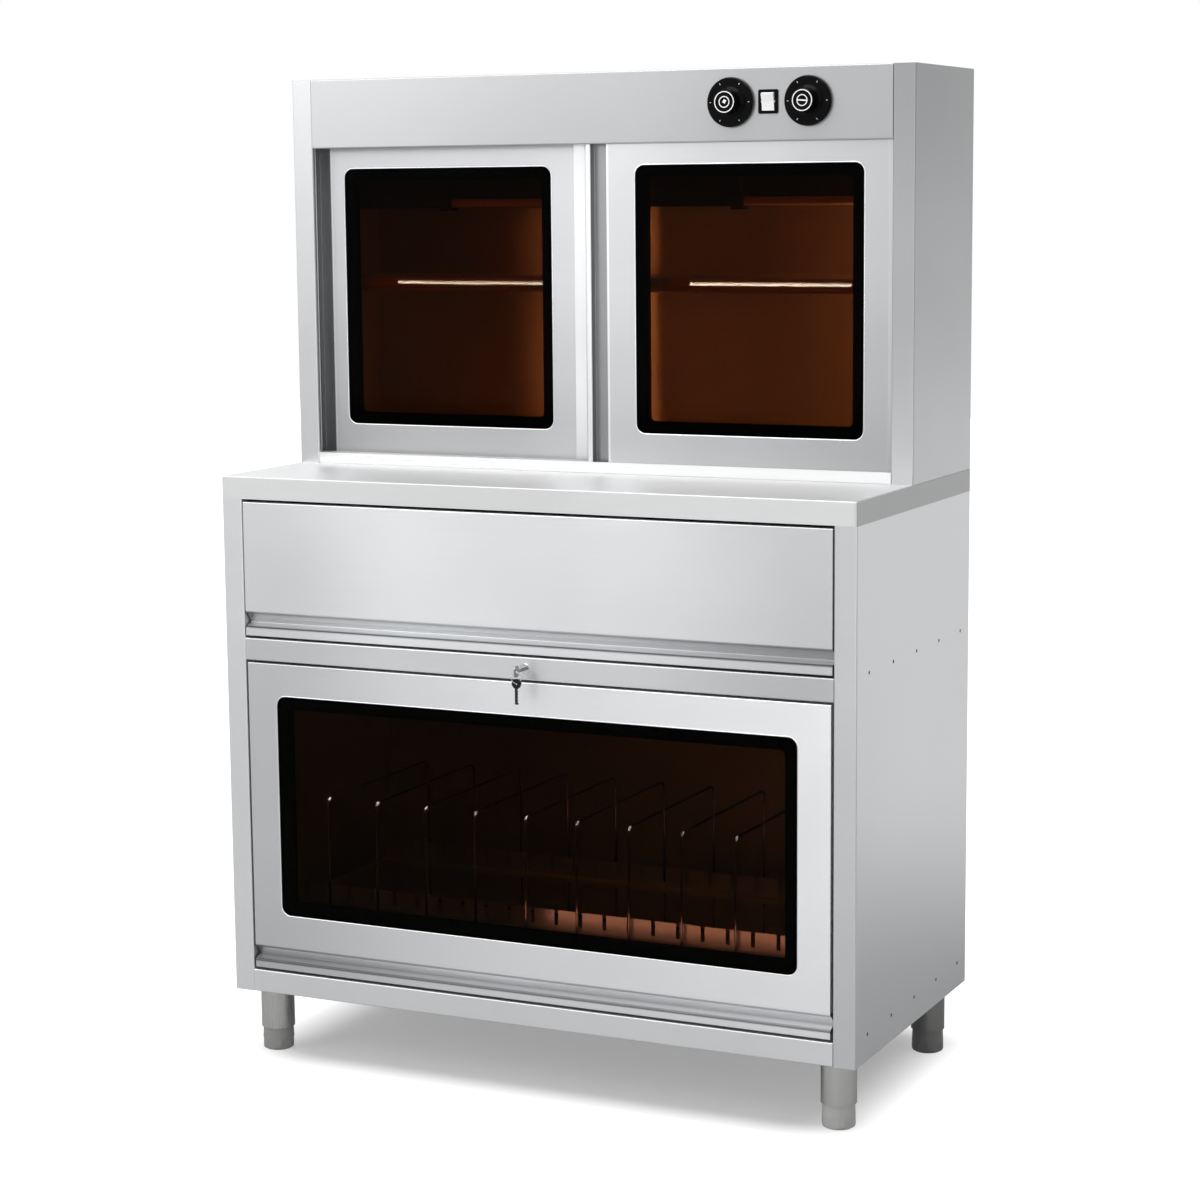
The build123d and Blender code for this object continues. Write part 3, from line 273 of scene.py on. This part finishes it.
STEEL_TONE = (0.60, 0.608, 0.62)
DULL_TONE = (0.52, 0.527, 0.537)
PALE_TONE = (0.70, 0.705, 0.71)
LEG_TONE = (0.46, 0.46, 0.45)
BLACK_SHINE = 0.05
FINISHES = {
    "sheet_steel": sheet_steel("Satin sheet", STEEL_TONE),
    "inner_steel": sheet_steel("Inner sheet", (0.5, 0.5, 0.5), 0.42, LEVEL, 0.55),
    "track_steel": sheet_steel("Track sheet", (0.82, 0.82, 0.82), 0.3, LEVEL, 0.6),
    "leg_grey": sheet_steel("Leg tube", (0.33, 0.33, 0.325), 0.3, UPRIGHT, 0.85),
    "foot_grey": moulded("Foot moulding", (0.27, 0.27, 0.265), 0.35),
    "runner_zinc": sheet_steel("Zinc runner", (0.5, 0.51, 0.53), 0.35, DEPTHWAYS),
    "rivet_steel": moulded(
        "Rivet head", (0.004, 0.004, 0.004), 0.5, 900.0, 0.05, Specular_IOR_Level=BLACK_SHINE),
    "quartz": moulded("Milky quartz", (0.75, 0.72, 0.66), 0.12, 300.0, 0.02, 0.05),
    "holder_steel": sheet_steel("Holder sheet", (0.45, 0.44, 0.43), 0.4),
    "control_plastic": moulded("Phenolic housing", (0.03, 0.03, 0.032), 0.45),
    "bezel_black": moulded(
        "Switch bezel", (0.003, 0.003, 0.003), 0.25, 900.0, 0.05, Specular_IOR_Level=0.06),
    "knob_black": moulded(
        "Knob moulding", (0.003, 0.003, 0.003), 0.15, 1200, 0.03, Specular_IOR_Level=0.06),
    "rocker_white": moulded("Rocker moulding", (0.95, 0.95, 0.95), 0.3, 900.0, 0.02, 0.02),
    "lock_chrome": sheet_steel("Lock plating", (0.72, 0.72, 0.73), 0.12, LEVEL, 1.0, 0.03),
    "key_metal": sheet_steel("Key nickel", (0.36, 0.36, 0.37), 0.25, UPRIGHT, 0.95),
    "wire_chrome": sheet_steel("Rack wire", (0.34, 0.33, 0.32), 0.2, UPRIGHT, 0.95),
    "tinted_glass": clear_glass("Tea tinted glass", (0.20, 0.059, 0.013)),
    "gasket_black": moulded(
        "Gasket rubber", (0.002, 0.002, 0.002), 0.5, 1400, 0.2, Specular_IOR_Level=BLACK_SHINE),
    "nylon": moulded("Nylon glide", (0.7, 0.7, 0.66), 0.4),
}
for row in frame["record"]["subparts"]:
    piece = frame["nodes"][row["node"]]
    piece.data.materials.clear()
    piece.data.materials.append(FINISHES[row["material_slot"]])

# The floor pan comes from duller sheet than the posts, and the baffle is painted near black as painted
# shade for the dark top of each chamber.
DULL_SHEET = sheet_steel("Dull satin sheet", (0.64, 0.647, 0.657), 0.38)
BAFFLE_PAINTED_SHADE = sheet_steel("Baffle with painted shade", (0.03, 0.028, 0.026), 0.5, LEVEL, 0.4)
frame["nodes"]["bottom_panel"].data.materials[0] = DULL_SHEET
frame["nodes"]["tube_holders"].data.materials[0] = BAFFLE_PAINTED_SHADE
SMOKED_GLASS = clear_glass("Smoked glass", (0.18, 0.09, 0.03))
frame["nodes"]["lower_drawer_glass"].data.materials[0] = SMOKED_GLASS

# Painted light and shade on each large sheet: tone stops across it, then from its foot to its top, stand
# in for the reflections and shade that fall on it.
EVEN = [(0, 1.0), (1, 1.0)]
DOOR_UPRIGHT_SHADE = [(0, 0.74), (0.3, 0.92), (0.6, 1.0)]
# Painted light and shade in a drawer grip: a lighter ledge, painted shade in the hollow behind it and a
# painted dark line over the highlight of the fold.
LEDGE_LIGHT = 1.0
HOLLOW_SHADE = 0.58
FOLD_SHADE = 0.18
LIGHT_AND_SHADE_FADES = {
    "header_panel": (DULL_TONE, [(0, 0.98), (0.5, 0.86), (1, 0.74)], EVEN),
    "middle_rail": (DULL_TONE, [(0, 1.1), (0.3, 1.3), (0.6, 1.33), (1, 1.0)], EVEN),
    "upper_drawer_front": (
        DULL_TONE, [(0, 1.35), (0.3, 1.72), (0.6, 1.62), (1, 1.22)],
        [(0, 0.94), (0.057, 0.94), (0.06, FOLD_SHADE), (0.069, FOLD_SHADE), (0.073, LEDGE_LIGHT), (0.094, LEDGE_LIGHT),
         (0.1, HOLLOW_SHADE), (0.125, HOLLOW_SHADE), (0.14, 0.47), (0.172, 0.44), (0.19, 0.96), (1, 1.0)]),
    "lower_drawer_front": (
        DULL_TONE, [(0, 1.08), (0.5, 1.55), (1, 1.72)],
        [(0, 0.8), (0.0205, 0.8), (0.0215, FOLD_SHADE), (0.0275, FOLD_SHADE), (0.0288, LEDGE_LIGHT), (0.035, LEDGE_LIGHT),
         (0.0375, HOLLOW_SHADE), (0.076, HOLLOW_SHADE), (0.078, 0.88), (0.5, 0.96), (1, 1.02)]),
    "left_door_frame": (STEEL_TONE, [(0, 0.9), (0.6, 0.97), (1, 1.1)], DOOR_UPRIGHT_SHADE),
    "right_door_frame": (STEEL_TONE, [(0, 1.1), (0.4, 0.98), (1, 0.8)], DOOR_UPRIGHT_SHADE),
    "left_side_panel": (STEEL_TONE, EVEN, [(0, 1.1), (1, 1.18)]),
    "right_side_panel": (STEEL_TONE, EVEN, [(0, 0.86), (0.5, 1.0), (1, 1.04)]),
    "upper_right_side_panel": (STEEL_TONE, EVEN, [(0, 0.84), (0.5, 0.64), (1, 0.5)]),
}
FADED_ROUGHNESS = 0.36
for name, (tone, across, upright) in LIGHT_AND_SHADE_FADES.items():
    sheet = sheet_steel("Satin " + name.replace("_", " "), tone, FADED_ROUGHNESS)
    frame["nodes"][name].data.materials[0] = paint_light_and_shade(sheet, tone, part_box(name), across, upright)

# A finger pull is a narrow channel, so painted shade darkens it behind its front face, and its front
# face carries a painted highlight.
PULL_SHADE = [(0.14, 0.3), (0.4, 0.5), (0.8, 0.58), (1, 0.7)]
for name, face in (("left_door_pull", 1.1), ("right_door_pull", 1.5)):
    sheet = sheet_steel("Satin " + name.replace("_", " "), STEEL_TONE, FADED_ROUGHNESS)
    depth = [(0, face), (0.08, face)] + PULL_SHADE
    frame["nodes"][name].data.materials[0] = paint_light_and_shade(
        sheet, STEEL_TONE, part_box(name), depth, DOOR_UPRIGHT_SHADE, "Y")

# The worktop's tone is even up to its right lip, which painted shade makes darker.
pale_sheet = sheet_steel("Pale worktop sheet", PALE_TONE, 0.42, LEVEL, 0.55)
SIDE_LIP_SHADE = [(0, 1.0), (0.995, 1.0), (1, 0.55)]
frame["nodes"]["worktop"].data.materials[0] = paint_light_and_shade(
    pale_sheet, PALE_TONE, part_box("worktop"), SIDE_LIP_SHADE, EVEN)

# The legs at the back stand in the shade, so their grey is deeper.
LEG_DEPTH = [(0, 1.0), (0.3, 1.0), (1, 0.45)]
LEG_UPRIGHT = [(0, 0.95), (1, 1.0)]
# The feet on the right are lighter than those on the left as painted light, and the rear feet darker as
# painted shade.
FOOT_SIDE_LIGHT = (("left", 0.27), ("right", 0.42))
FOOT_SHADE = (("front", 1.0), ("rear", 0.4))
FOOT_BLUE = 0.98
FOOT_ROUGHNESS = 0.35
legs = frame["nodes"]["leg_sleeves"].data.materials
leg_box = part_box("leg_sleeves")
legs[0] = paint_light_and_shade(legs[0].copy(), LEG_TONE, leg_box, LEG_DEPTH, LEG_UPRIGHT, "Y")
for side, tone in FOOT_SIDE_LIGHT:
    for end, factor in FOOT_SHADE:
        grey = (tone * factor, tone * factor, tone * factor * FOOT_BLUE)
        moulding = moulded("Foot moulding " + end + " " + side, grey, FOOT_ROUGHNESS)
        frame["nodes"]["foot_" + end + "_" + side].data.materials[0] = moulding

WHITE_PRINT = moulded("White print", (0.95, 0.95, 0.95), 0.4, 1500.0, 0.02, 0.04)
CUT_EDGE = sheet_steel("Polished cut edge", (0.9, 0.9, 0.92), 0.15, LEVEL, 0.9, 0.02)
KEY_BOW = moulded("Key bow cover", (0.006, 0.006, 0.006), 0.4, 1500.0, 0.1, Specular_IOR_Level=0.2)
DARK_KEY = sheet_steel("Dark key", (0.02, 0.02, 0.022), 0.35, UPRIGHT, 0.4)


# New pieces


def piece_from(name, mesh, material, body):
    """Turns a bmesh into a named piece that rides on a body."""
    data = bpy.data.meshes.new(name)
    mesh.to_mesh(data)
    mesh.free()
    data.materials.append(material)
    made = bpy.data.objects.new(name, data)
    bpy.context.collection.objects.link(made)
    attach(made, body)
    return made


ROUND_STEPS = 48


def ring_on_face(mesh, centre, outer, inner, front, back):
    """A flat printed ring that faces forward, with its own small thickness."""
    corners = [(outer, back), (outer, front), (inner, front), (inner, back)]
    verts = [mesh.verts.new((centre[0] + radius, y, centre[1])) for radius, y in corners]
    edges = [mesh.edges.new((verts[k], verts[(k + 1) % 4])) for k in range(4)]
    bmesh.ops.spin(mesh, geom=verts + edges, cent=(centre[0], 0, centre[1]), axis=(0, 1, 0),
                   angle=math.tau, steps=ROUND_STEPS, use_merge=True)


def mark_on_face(mesh, centre, angle, radius, length, width, front, back):
    """A short bar that points to the centre, as a division on a dial does."""
    made = bmesh.ops.create_cube(mesh, size=1.0)
    turn = Matrix.Rotation(angle, 4, "Y")
    move = Matrix.Translation((centre[0], (front + back) / 2, centre[1]))
    size = Matrix.Diagonal((width, back - front, length, 1))
    outward = Matrix.Translation((0, 0, radius))
    bmesh.ops.transform(mesh, matrix=move @ turn @ outward @ size, verts=made["verts"])


PRINT_LIFT = 0.0002
HUB_PRINT_DEPTH = 0.0008
HUB_RINGS = ((0.0180, 0.0164), (0.0098, 0.0082))
# Each mark: its angle in degrees, its distance from the middle, its length and its width.
HUB_MARKS = {"bar": (94, 0, 0.0168, 0.0022), "dot": (30, 0.001, 0.0062, 0.0052)}
SKIRT_FACE = -0.008
SKIRT_PRINT_DEPTH = 0.0005
SKIRT_MARKS = 6
SKIRT_FIRST = -150
SKIRT_STEP = 60
SKIRT_RADIUS = 0.0352
SKIRT_MARK = (0.0026, 0.0009)


def dial_print(name, body, node, inside):
    """White rings and one mark on the hub, and divisions on the skirt of a knob."""
    low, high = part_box(node)
    centre = ((low.x + high.x) / 2, (low.z + high.z) / 2)
    hub_face = low.y
    mesh = bmesh.new()
    hub_front = hub_face - PRINT_LIFT
    hub_back = hub_face + HUB_PRINT_DEPTH
    for outer, inner in HUB_RINGS:
        ring_on_face(mesh, centre, outer, inner, hub_front, hub_back)
    turn, radius, length, width = HUB_MARKS[inside]
    mark_on_face(mesh, centre, math.radians(turn), radius, length, width, hub_front, hub_back)
    skirt_front = SKIRT_FACE - PRINT_LIFT
    skirt_back = SKIRT_FACE + SKIRT_PRINT_DEPTH
    length, width = SKIRT_MARK
    for step in range(SKIRT_MARKS):
        angle = math.radians(SKIRT_FIRST + SKIRT_STEP * step)
        mark_on_face(mesh, centre, angle, SKIRT_RADIUS, length, width, skirt_front, skirt_back)
    return piece_from(name, mesh, WHITE_PRINT, body)


dial_print("timer_dial_print", "timer_dial", "timer_knob", "dot")
dial_print("thermostat_dial_print", "thermostat_dial", "thermostat_knob", "bar")


CORNER_STEPS = 6
BEAD_SMOOTHNESS = 2


def edge_bead(name, sides, radius, y, thickness, body):
    """The polished cut edge around a window, as a thin bead on the sheet."""
    x0, x1, z0, z1 = sides
    corners = ((x1 - radius, z1 - radius, 0), (x0 + radius, z1 - radius, 90),
               (x0 + radius, z0 + radius, 180), (x1 - radius, z0 + radius, 270))
    path = []
    for corner_x, corner_z, first in corners:
        for step in range(CORNER_STEPS + 1):
            angle = math.radians(first + 90 / CORNER_STEPS * step)
            path.append((corner_x + radius * math.cos(angle), corner_z + radius * math.sin(angle)))
    line = bpy.data.curves.new(name, "CURVE")
    line.dimensions = "3D"
    spline = line.splines.new("POLY")
    spline.points.add(len(path) - 1)
    for point, (x, z) in zip(spline.points, path):
        point.co = (x, y, z, 1)
    spline.use_cyclic_u = True
    line.bevel_depth = thickness / 2
    line.bevel_resolution = BEAD_SMOOTHNESS
    line.materials.append(CUT_EDGE)
    bead = bpy.data.objects.new(name, line)
    bpy.context.collection.objects.link(bead)
    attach(bead, body)


BEAD_THICKNESS = 0.0022
BEAD_SINK = 0.0007


def window_bead(name, glass_node, lap, radius, sheet_face, body):
    """The cut edge of one window, placed from its glass, which laps behind the sheet."""
    low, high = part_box(glass_node)
    sides = (low.x + lap, high.x - lap, low.z + lap, high.z - lap)
    edge_bead(name, sides, radius, sheet_face, BEAD_THICKNESS, body)


GLASS_LAP = 0.014
WINDOW_CORNER = 0.018
for body, front in (("left_door", "left_door_frame"), ("right_door", "right_door_frame"),
                    ("lower_drawer", "lower_drawer_front")):
    bead_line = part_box(front)[0].y + BEAD_SINK
    window_bead(body + "_window_edge", body + "_glass", GLASS_LAP, WINDOW_CORNER, bead_line, body)


BOW_ABOVE_RING = 0.0014
BOW_HOLE_DROP = 0.0018
BOW_OUTER = 0.0088
BOW_INNER = 0.0030
BOW_HALF = 0.0012
BOW_TAPER = 28
BLADE_SIZE = (0.0058, 0.0021, 0.030)
BLADE_DROP = 0.0205
BLADE_LEVELS = 11
CUT_SIDE = 0.001
CUT_DEPTH = 0.0016


def spare_key():
    """The second key: a bow around the ring and a blade with cuts, hanging straight down."""
    low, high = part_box("key_ring")
    ring_bottom = low.z + BOW_ABOVE_RING
    middle_y = (low.y + high.y) / 2
    hole = ring_bottom - BOW_HOLE_DROP
    mesh = bmesh.new()
    ring_on_face(mesh, (0, hole), BOW_OUTER, BOW_INNER, middle_y - BOW_HALF, middle_y + BOW_HALF)
    for vert in mesh.verts:
        drop = hole - vert.co.z
        if drop > 0:
            vert.co.x *= 1 - BOW_TAPER * drop
    blade = bmesh.ops.create_cube(mesh, size=1.0)
    place = Matrix.Translation((0, middle_y, hole - BLADE_DROP))
    size = Matrix.Diagonal((*BLADE_SIZE, 1))
    bmesh.ops.transform(mesh, matrix=place @ size, verts=blade["verts"])
    long_edges = [edge for edge in mesh.edges if edge.calc_length() > BLADE_SIZE[2] * 0.8]
    made = bmesh.ops.subdivide_edges(mesh, edges=long_edges, cuts=BLADE_LEVELS, use_grid_fill=True)
    inner_verts = [item for item in made["geom_inner"] if isinstance(item, bmesh.types.BMVert)]
    cuts = [vert for vert in inner_verts if vert.co.x > CUT_SIDE]
    levels = sorted({round(vert.co.z, 5) for vert in cuts})
    for vert in cuts:
        if levels.index(round(vert.co.z, 5)) % 2:
            vert.co.x -= CUT_DEPTH
    bmesh.ops.recalc_face_normals(mesh, faces=mesh.faces)
    return piece_from("spare_key", mesh, DARK_KEY, "hanging_ring")


spare_key()


COVER_OUTER = 0.0082
COVER_INNER = 0.0018
COVER_HALF = 0.0020
COVER_ROUND = 0.0006
COVER_DROP = 0.0004
RIM_ANGLE = 1.2


def bow_cover(name, centre, body):
    """The dark grip moulded round a key's bow, which leaves the hole free."""
    mesh = bmesh.new()
    ring_on_face(mesh, (0, 0), COVER_OUTER, COVER_INNER, -COVER_HALF, COVER_HALF)
    rims = [edge for edge in mesh.edges if edge.calc_face_angle(0) > RIM_ANGLE]
    bmesh.ops.bevel(mesh, geom=rims, offset=COVER_ROUND, affect="EDGES", segments=2, profile=0.5,
                    material=-1)
    bmesh.ops.transform(mesh, matrix=Matrix.Translation(centre), verts=mesh.verts)
    bmesh.ops.recalc_face_normals(mesh, faces=mesh.faces)
    return piece_from(name, mesh, KEY_BOW, body)


ring_low, ring_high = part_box("key_ring")
bow_place = (0, (ring_low.y + ring_high.y) / 2, ring_low.z - COVER_DROP)
bow_cover("spare_key_bow_cover", bow_place, "hanging_ring")


# Studio

WHITE = (1, 1, 1, 1)
WORLD_LIGHT = 0.55
WORLD_SHOWN = 1.0


def seen_directly(tree):
    """One where a ray is straight from the camera, a mirror or clear glass."""
    rays = tree.nodes.new("ShaderNodeLightPath")
    first = tree.nodes.new("ShaderNodeMath")
    first.operation = "MAXIMUM"
    second = tree.nodes.new("ShaderNodeMath")
    second.operation = "MAXIMUM"
    tree.links.new(rays.outputs["Is Camera Ray"], first.inputs[0])
    tree.links.new(rays.outputs["Is Glossy Ray"], first.inputs[1])
    tree.links.new(first.outputs[0], second.inputs[0])
    tree.links.new(rays.outputs["Is Transmission Ray"], second.inputs[1])
    return second.outputs[0]


def set_world():
    """A soft white room that looks fully white wherever it is seen."""
    world = bpy.data.worlds.new("Studio")
    bpy.context.scene.world = world
    world.use_nodes = True
    tree = world.node_tree
    tree.nodes.clear()
    output = tree.nodes.new("ShaderNodeOutputWorld")
    soft = tree.nodes.new("ShaderNodeBackground")
    soft.inputs["Color"].default_value = WHITE
    soft.inputs["Strength"].default_value = WORLD_LIGHT
    shown = tree.nodes.new("ShaderNodeBackground")
    shown.inputs["Color"].default_value = WHITE
    shown.inputs["Strength"].default_value = WORLD_SHOWN
    mix = tree.nodes.new("ShaderNodeMixShader")
    tree.links.new(seen_directly(tree), mix.inputs["Fac"])
    tree.links.new(soft.outputs[0], mix.inputs[1])
    tree.links.new(shown.outputs[0], mix.inputs[2])
    tree.links.new(mix.outputs[0], output.inputs["Surface"])


FLOOR_REACH = 14.0
FLOOR_TONE = (0.6, 0.6, 0.6, 1)
FLOOR_GLOW = 1.4
# The shadow on the floor: per axis its middle, the half of its full depth, and how fast it ends.
SHADOW_SPAN = (("X", 0.0, 0.44, 0.62), ("Y", 0.04, 0.24, 1.0))
SHADOW_START = 0.02
SHADOW_END = 0.17
SHADOW_WHITENESS = 0.2
# How far back the floor starts to glow in reflections, where it is brightest, and how much.
MIRRORED_START = 0.8
MIRRORED_END = 2.0
MIRRORED_GLOW = 0.6


def make_floor():
    """White paper under the cabinet, with its shadow, which glows behind it in reflections."""
    mesh = bmesh.new()
    bmesh.ops.create_grid(mesh, x_segments=1, y_segments=1, size=FLOOR_REACH)
    data = bpy.data.meshes.new("studio_floor")
    mesh.to_mesh(data)
    mesh.free()
    material = bpy.data.materials.new("Studio floor")
    material.use_nodes = True
    tree = material.node_tree
    nodes = tree.nodes
    links = tree.links
    shader = nodes["Principled BSDF"]
    shader.inputs["Base Color"].default_value = FLOOR_TONE
    shader.inputs["Roughness"].default_value = 0.9
    shader.inputs["Specular IOR Level"].default_value = 0.1
    place = nodes.new("ShaderNodeTexCoord")
    split = nodes.new("ShaderNodeSeparateXYZ")
    links.new(place.outputs["Object"], split.inputs[0])
    outside = nodes.new("ShaderNodeCombineXYZ")
    for axis, middle, half, scale in SHADOW_SPAN:
        offset = maths(tree, "ABSOLUTE", maths(tree, "SUBTRACT", split.outputs[axis], middle), 0)
        beyond = maths(tree, "MAXIMUM", maths(tree, "SUBTRACT", offset, half), 0)
        links.new(maths(tree, "MULTIPLY", beyond, scale), outside.inputs[axis])
    reach = nodes.new("ShaderNodeVectorMath")
    reach.operation = "LENGTH"
    links.new(outside.outputs[0], reach.inputs[0])
    fade = nodes.new("ShaderNodeMapRange")
    fade.interpolation_type = "SMOOTHSTEP"
    fade.inputs["From Min"].default_value = SHADOW_START
    fade.inputs["From Max"].default_value = SHADOW_END
    fade.inputs["To Min"].default_value = SHADOW_WHITENESS
    links.new(reach.outputs["Value"], fade.inputs["Value"])
    behind = nodes.new("ShaderNodeMapRange")
    behind.inputs["From Min"].default_value = MIRRORED_START
    behind.inputs["From Max"].default_value = MIRRORED_END
    behind.inputs["To Max"].default_value = MIRRORED_GLOW
    links.new(split.outputs["Y"], behind.inputs["Value"])
    rays = nodes.new("ShaderNodeLightPath")
    mirrored = maths(tree, "MULTIPLY", rays.outputs["Is Glossy Ray"], behind.outputs["Result"])
    seen = maths(tree, "MAXIMUM", rays.outputs["Is Camera Ray"], mirrored)
    amount = maths(tree, "MULTIPLY", fade.outputs["Result"], seen)
    paper = nodes.new("ShaderNodeEmission")
    paper.inputs["Color"].default_value = WHITE
    paper.inputs["Strength"].default_value = FLOOR_GLOW
    mix = nodes.new("ShaderNodeMixShader")
    links.new(amount, mix.inputs["Fac"])
    links.new(shader.outputs[0], mix.inputs[1])
    links.new(paper.outputs[0], mix.inputs[2])
    links.new(mix.outputs[0], nodes["Material Output"].inputs["Surface"])
    data.materials.append(material)
    floor = bpy.data.objects.new("studio_floor", data)
    bpy.context.collection.objects.link(floor)


def area_lamp(name, place, target, size, power, tone=(1, 1, 1), hidden=False, spread=180):
    """A rectangular lamp aimed at a point. A hidden one isn't seen, not even through the glass."""
    data = bpy.data.lights.new(name, "AREA")
    data.shape = "RECTANGLE"
    data.size = size[0]
    data.size_y = size[1]
    data.energy = power
    data.color = tone
    data.spread = math.radians(spread)
    lamp = bpy.data.objects.new(name, data)
    lamp.visible_camera = not hidden
    lamp.visible_transmission = not hidden
    lamp.location = place
    aim = Vector(target) - Vector(place)
    lamp.rotation_euler = aim.to_track_quat("-Z", "Y").to_euler()
    bpy.context.collection.objects.link(lamp)


set_world()
make_floor()
# The softboxes: name, place, target, size in metres and power in watts.
SOFTBOXES = (
    ("front_left_softbox", (-3.2, -4.0, 3.6), (0, 0, 0.9), (3.0, 3.0), 80),
    ("overhead_softbox", (0.2, -0.8, 4.6), (0, 0, 0.8), (3.4, 2.6), 110),
    ("front_strip", (0.5, -5.2, 1.4), (0.2, 0, 1.2), (0.9, 2.6), 26),
)
for row in SOFTBOXES:
    area_lamp(*row)

# The hidden lamps inside, which shine through the tinted glass, so their tones are cooler than it.
WARM = (1.0, 0.88, 0.80)
ROSY = (0.97, 0.66, 1.0)
PALE_BLUE = (0.2, 0.36, 1.0)
COOL = (0.12, 0.31, 1.0)
INNER_LAMPS = (
    ("left_chamber_lamp", (-0.02, 0.075, 1.34), (-0.12, 0.30, 1.34), (0.02, 0.50), 2.0, WARM, True, 58),
    ("right_chamber_lamp", (0.575, 0.16, 1.40), (0.1, 0.32, 1.38), (0.02, 0.40), 2.1, WARM, True),
    ("comb_lamp", (0.235, -0.232, 0.287), (0.235, -0.17, 0.287), (0.54, 0.03), 0.1, ROSY, True, 120),
)
for row in INNER_LAMPS:
    area_lamp(*row)

# One small lamp over the bend of each wire divider.
DIVIDERS = 10
DIVIDER_PITCH = 0.1
TIP_BACK = 0.0115
TIP_ABOVE = 0.012
TIP_SIZE = (0.006, 0.006)
TIP_POWER = 0.1
TIP_SPREAD = 10
rack_low, rack_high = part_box("divider_rack")
for step in range(DIVIDERS):
    tip = DIVIDER_PITCH * (step - (DIVIDERS - 1) / 2)
    place = (tip, rack_low.y + TIP_BACK, rack_high.z + TIP_ABOVE)
    floor_point = (tip, place[1], 0)
    area_lamp("tip_lamp_%d" % (step + 1), place, floor_point, TIP_SIZE, TIP_POWER, PALE_BLUE, True,
              TIP_SPREAD)

# Two strips in front of the shelf's nose, one behind each window.
NOSE_HEIGHT = 0.0155
NOSE_GAP = 0.003
NOSE_SIZE = (0.30, 0.005)
NOSE_POWER = 1.3
NOSE_SPREAD = 20
shelf_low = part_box("shelf")[0]
line_z = shelf_low.z + NOSE_HEIGHT
for side, middle in (("left", -0.27), ("right", 0.315)):
    place = (middle, shelf_low.y - NOSE_GAP, line_z)
    straight_back = (middle, 1, line_z)
    area_lamp(side + "_shelf_lamp", place, straight_back, NOSE_SIZE, NOSE_POWER, COOL, True, NOSE_SPREAD)


CARD_REACH = 1.5
CARD_PLACE = (3.6, 4.2, 3.0)
CARD_TURN = (math.radians(90), 0, 0.7)
CARD_TONE = (0.22, 0.22, 0.225)


def make_grey_card():
    """A grey card to the right, which only the right side of the cabinet mirrors."""
    mesh = bmesh.new()
    bmesh.ops.create_grid(mesh, x_segments=1, y_segments=1, size=CARD_REACH)
    data = bpy.data.meshes.new("grey_card")
    turn = Euler(CARD_TURN).to_matrix().to_4x4()
    bmesh.ops.transform(mesh, matrix=Matrix.Translation(CARD_PLACE) @ turn, verts=mesh.verts)
    mesh.to_mesh(data)
    mesh.free()
    data.materials.append(moulded("Card paper", CARD_TONE, 0.9, 200.0, 0.0))
    card = bpy.data.objects.new("grey_card", data)
    bpy.context.collection.objects.link(card)


make_grey_card()

# The camera was solved from the cabinet's own edges in the photo.
SENSOR = 36.0
LENS = 83.86
CAMERA_PLACE = (2.1327, -4.4541, 1.5526)
CAMERA_DEGREES = (81.7037, 0.5116, 25.3594)
camera_data = bpy.data.cameras.new("Camera")
camera_data.sensor_width = SENSOR
camera_data.lens = LENS
camera = bpy.data.objects.new("Camera", camera_data)
camera.location = CAMERA_PLACE
camera.rotation_euler = Euler([math.radians(angle) for angle in CAMERA_DEGREES], "XYZ")
bpy.context.collection.objects.link(camera)
bpy.context.scene.camera = camera
bpy.context.scene.view_settings.view_transform = "Standard"
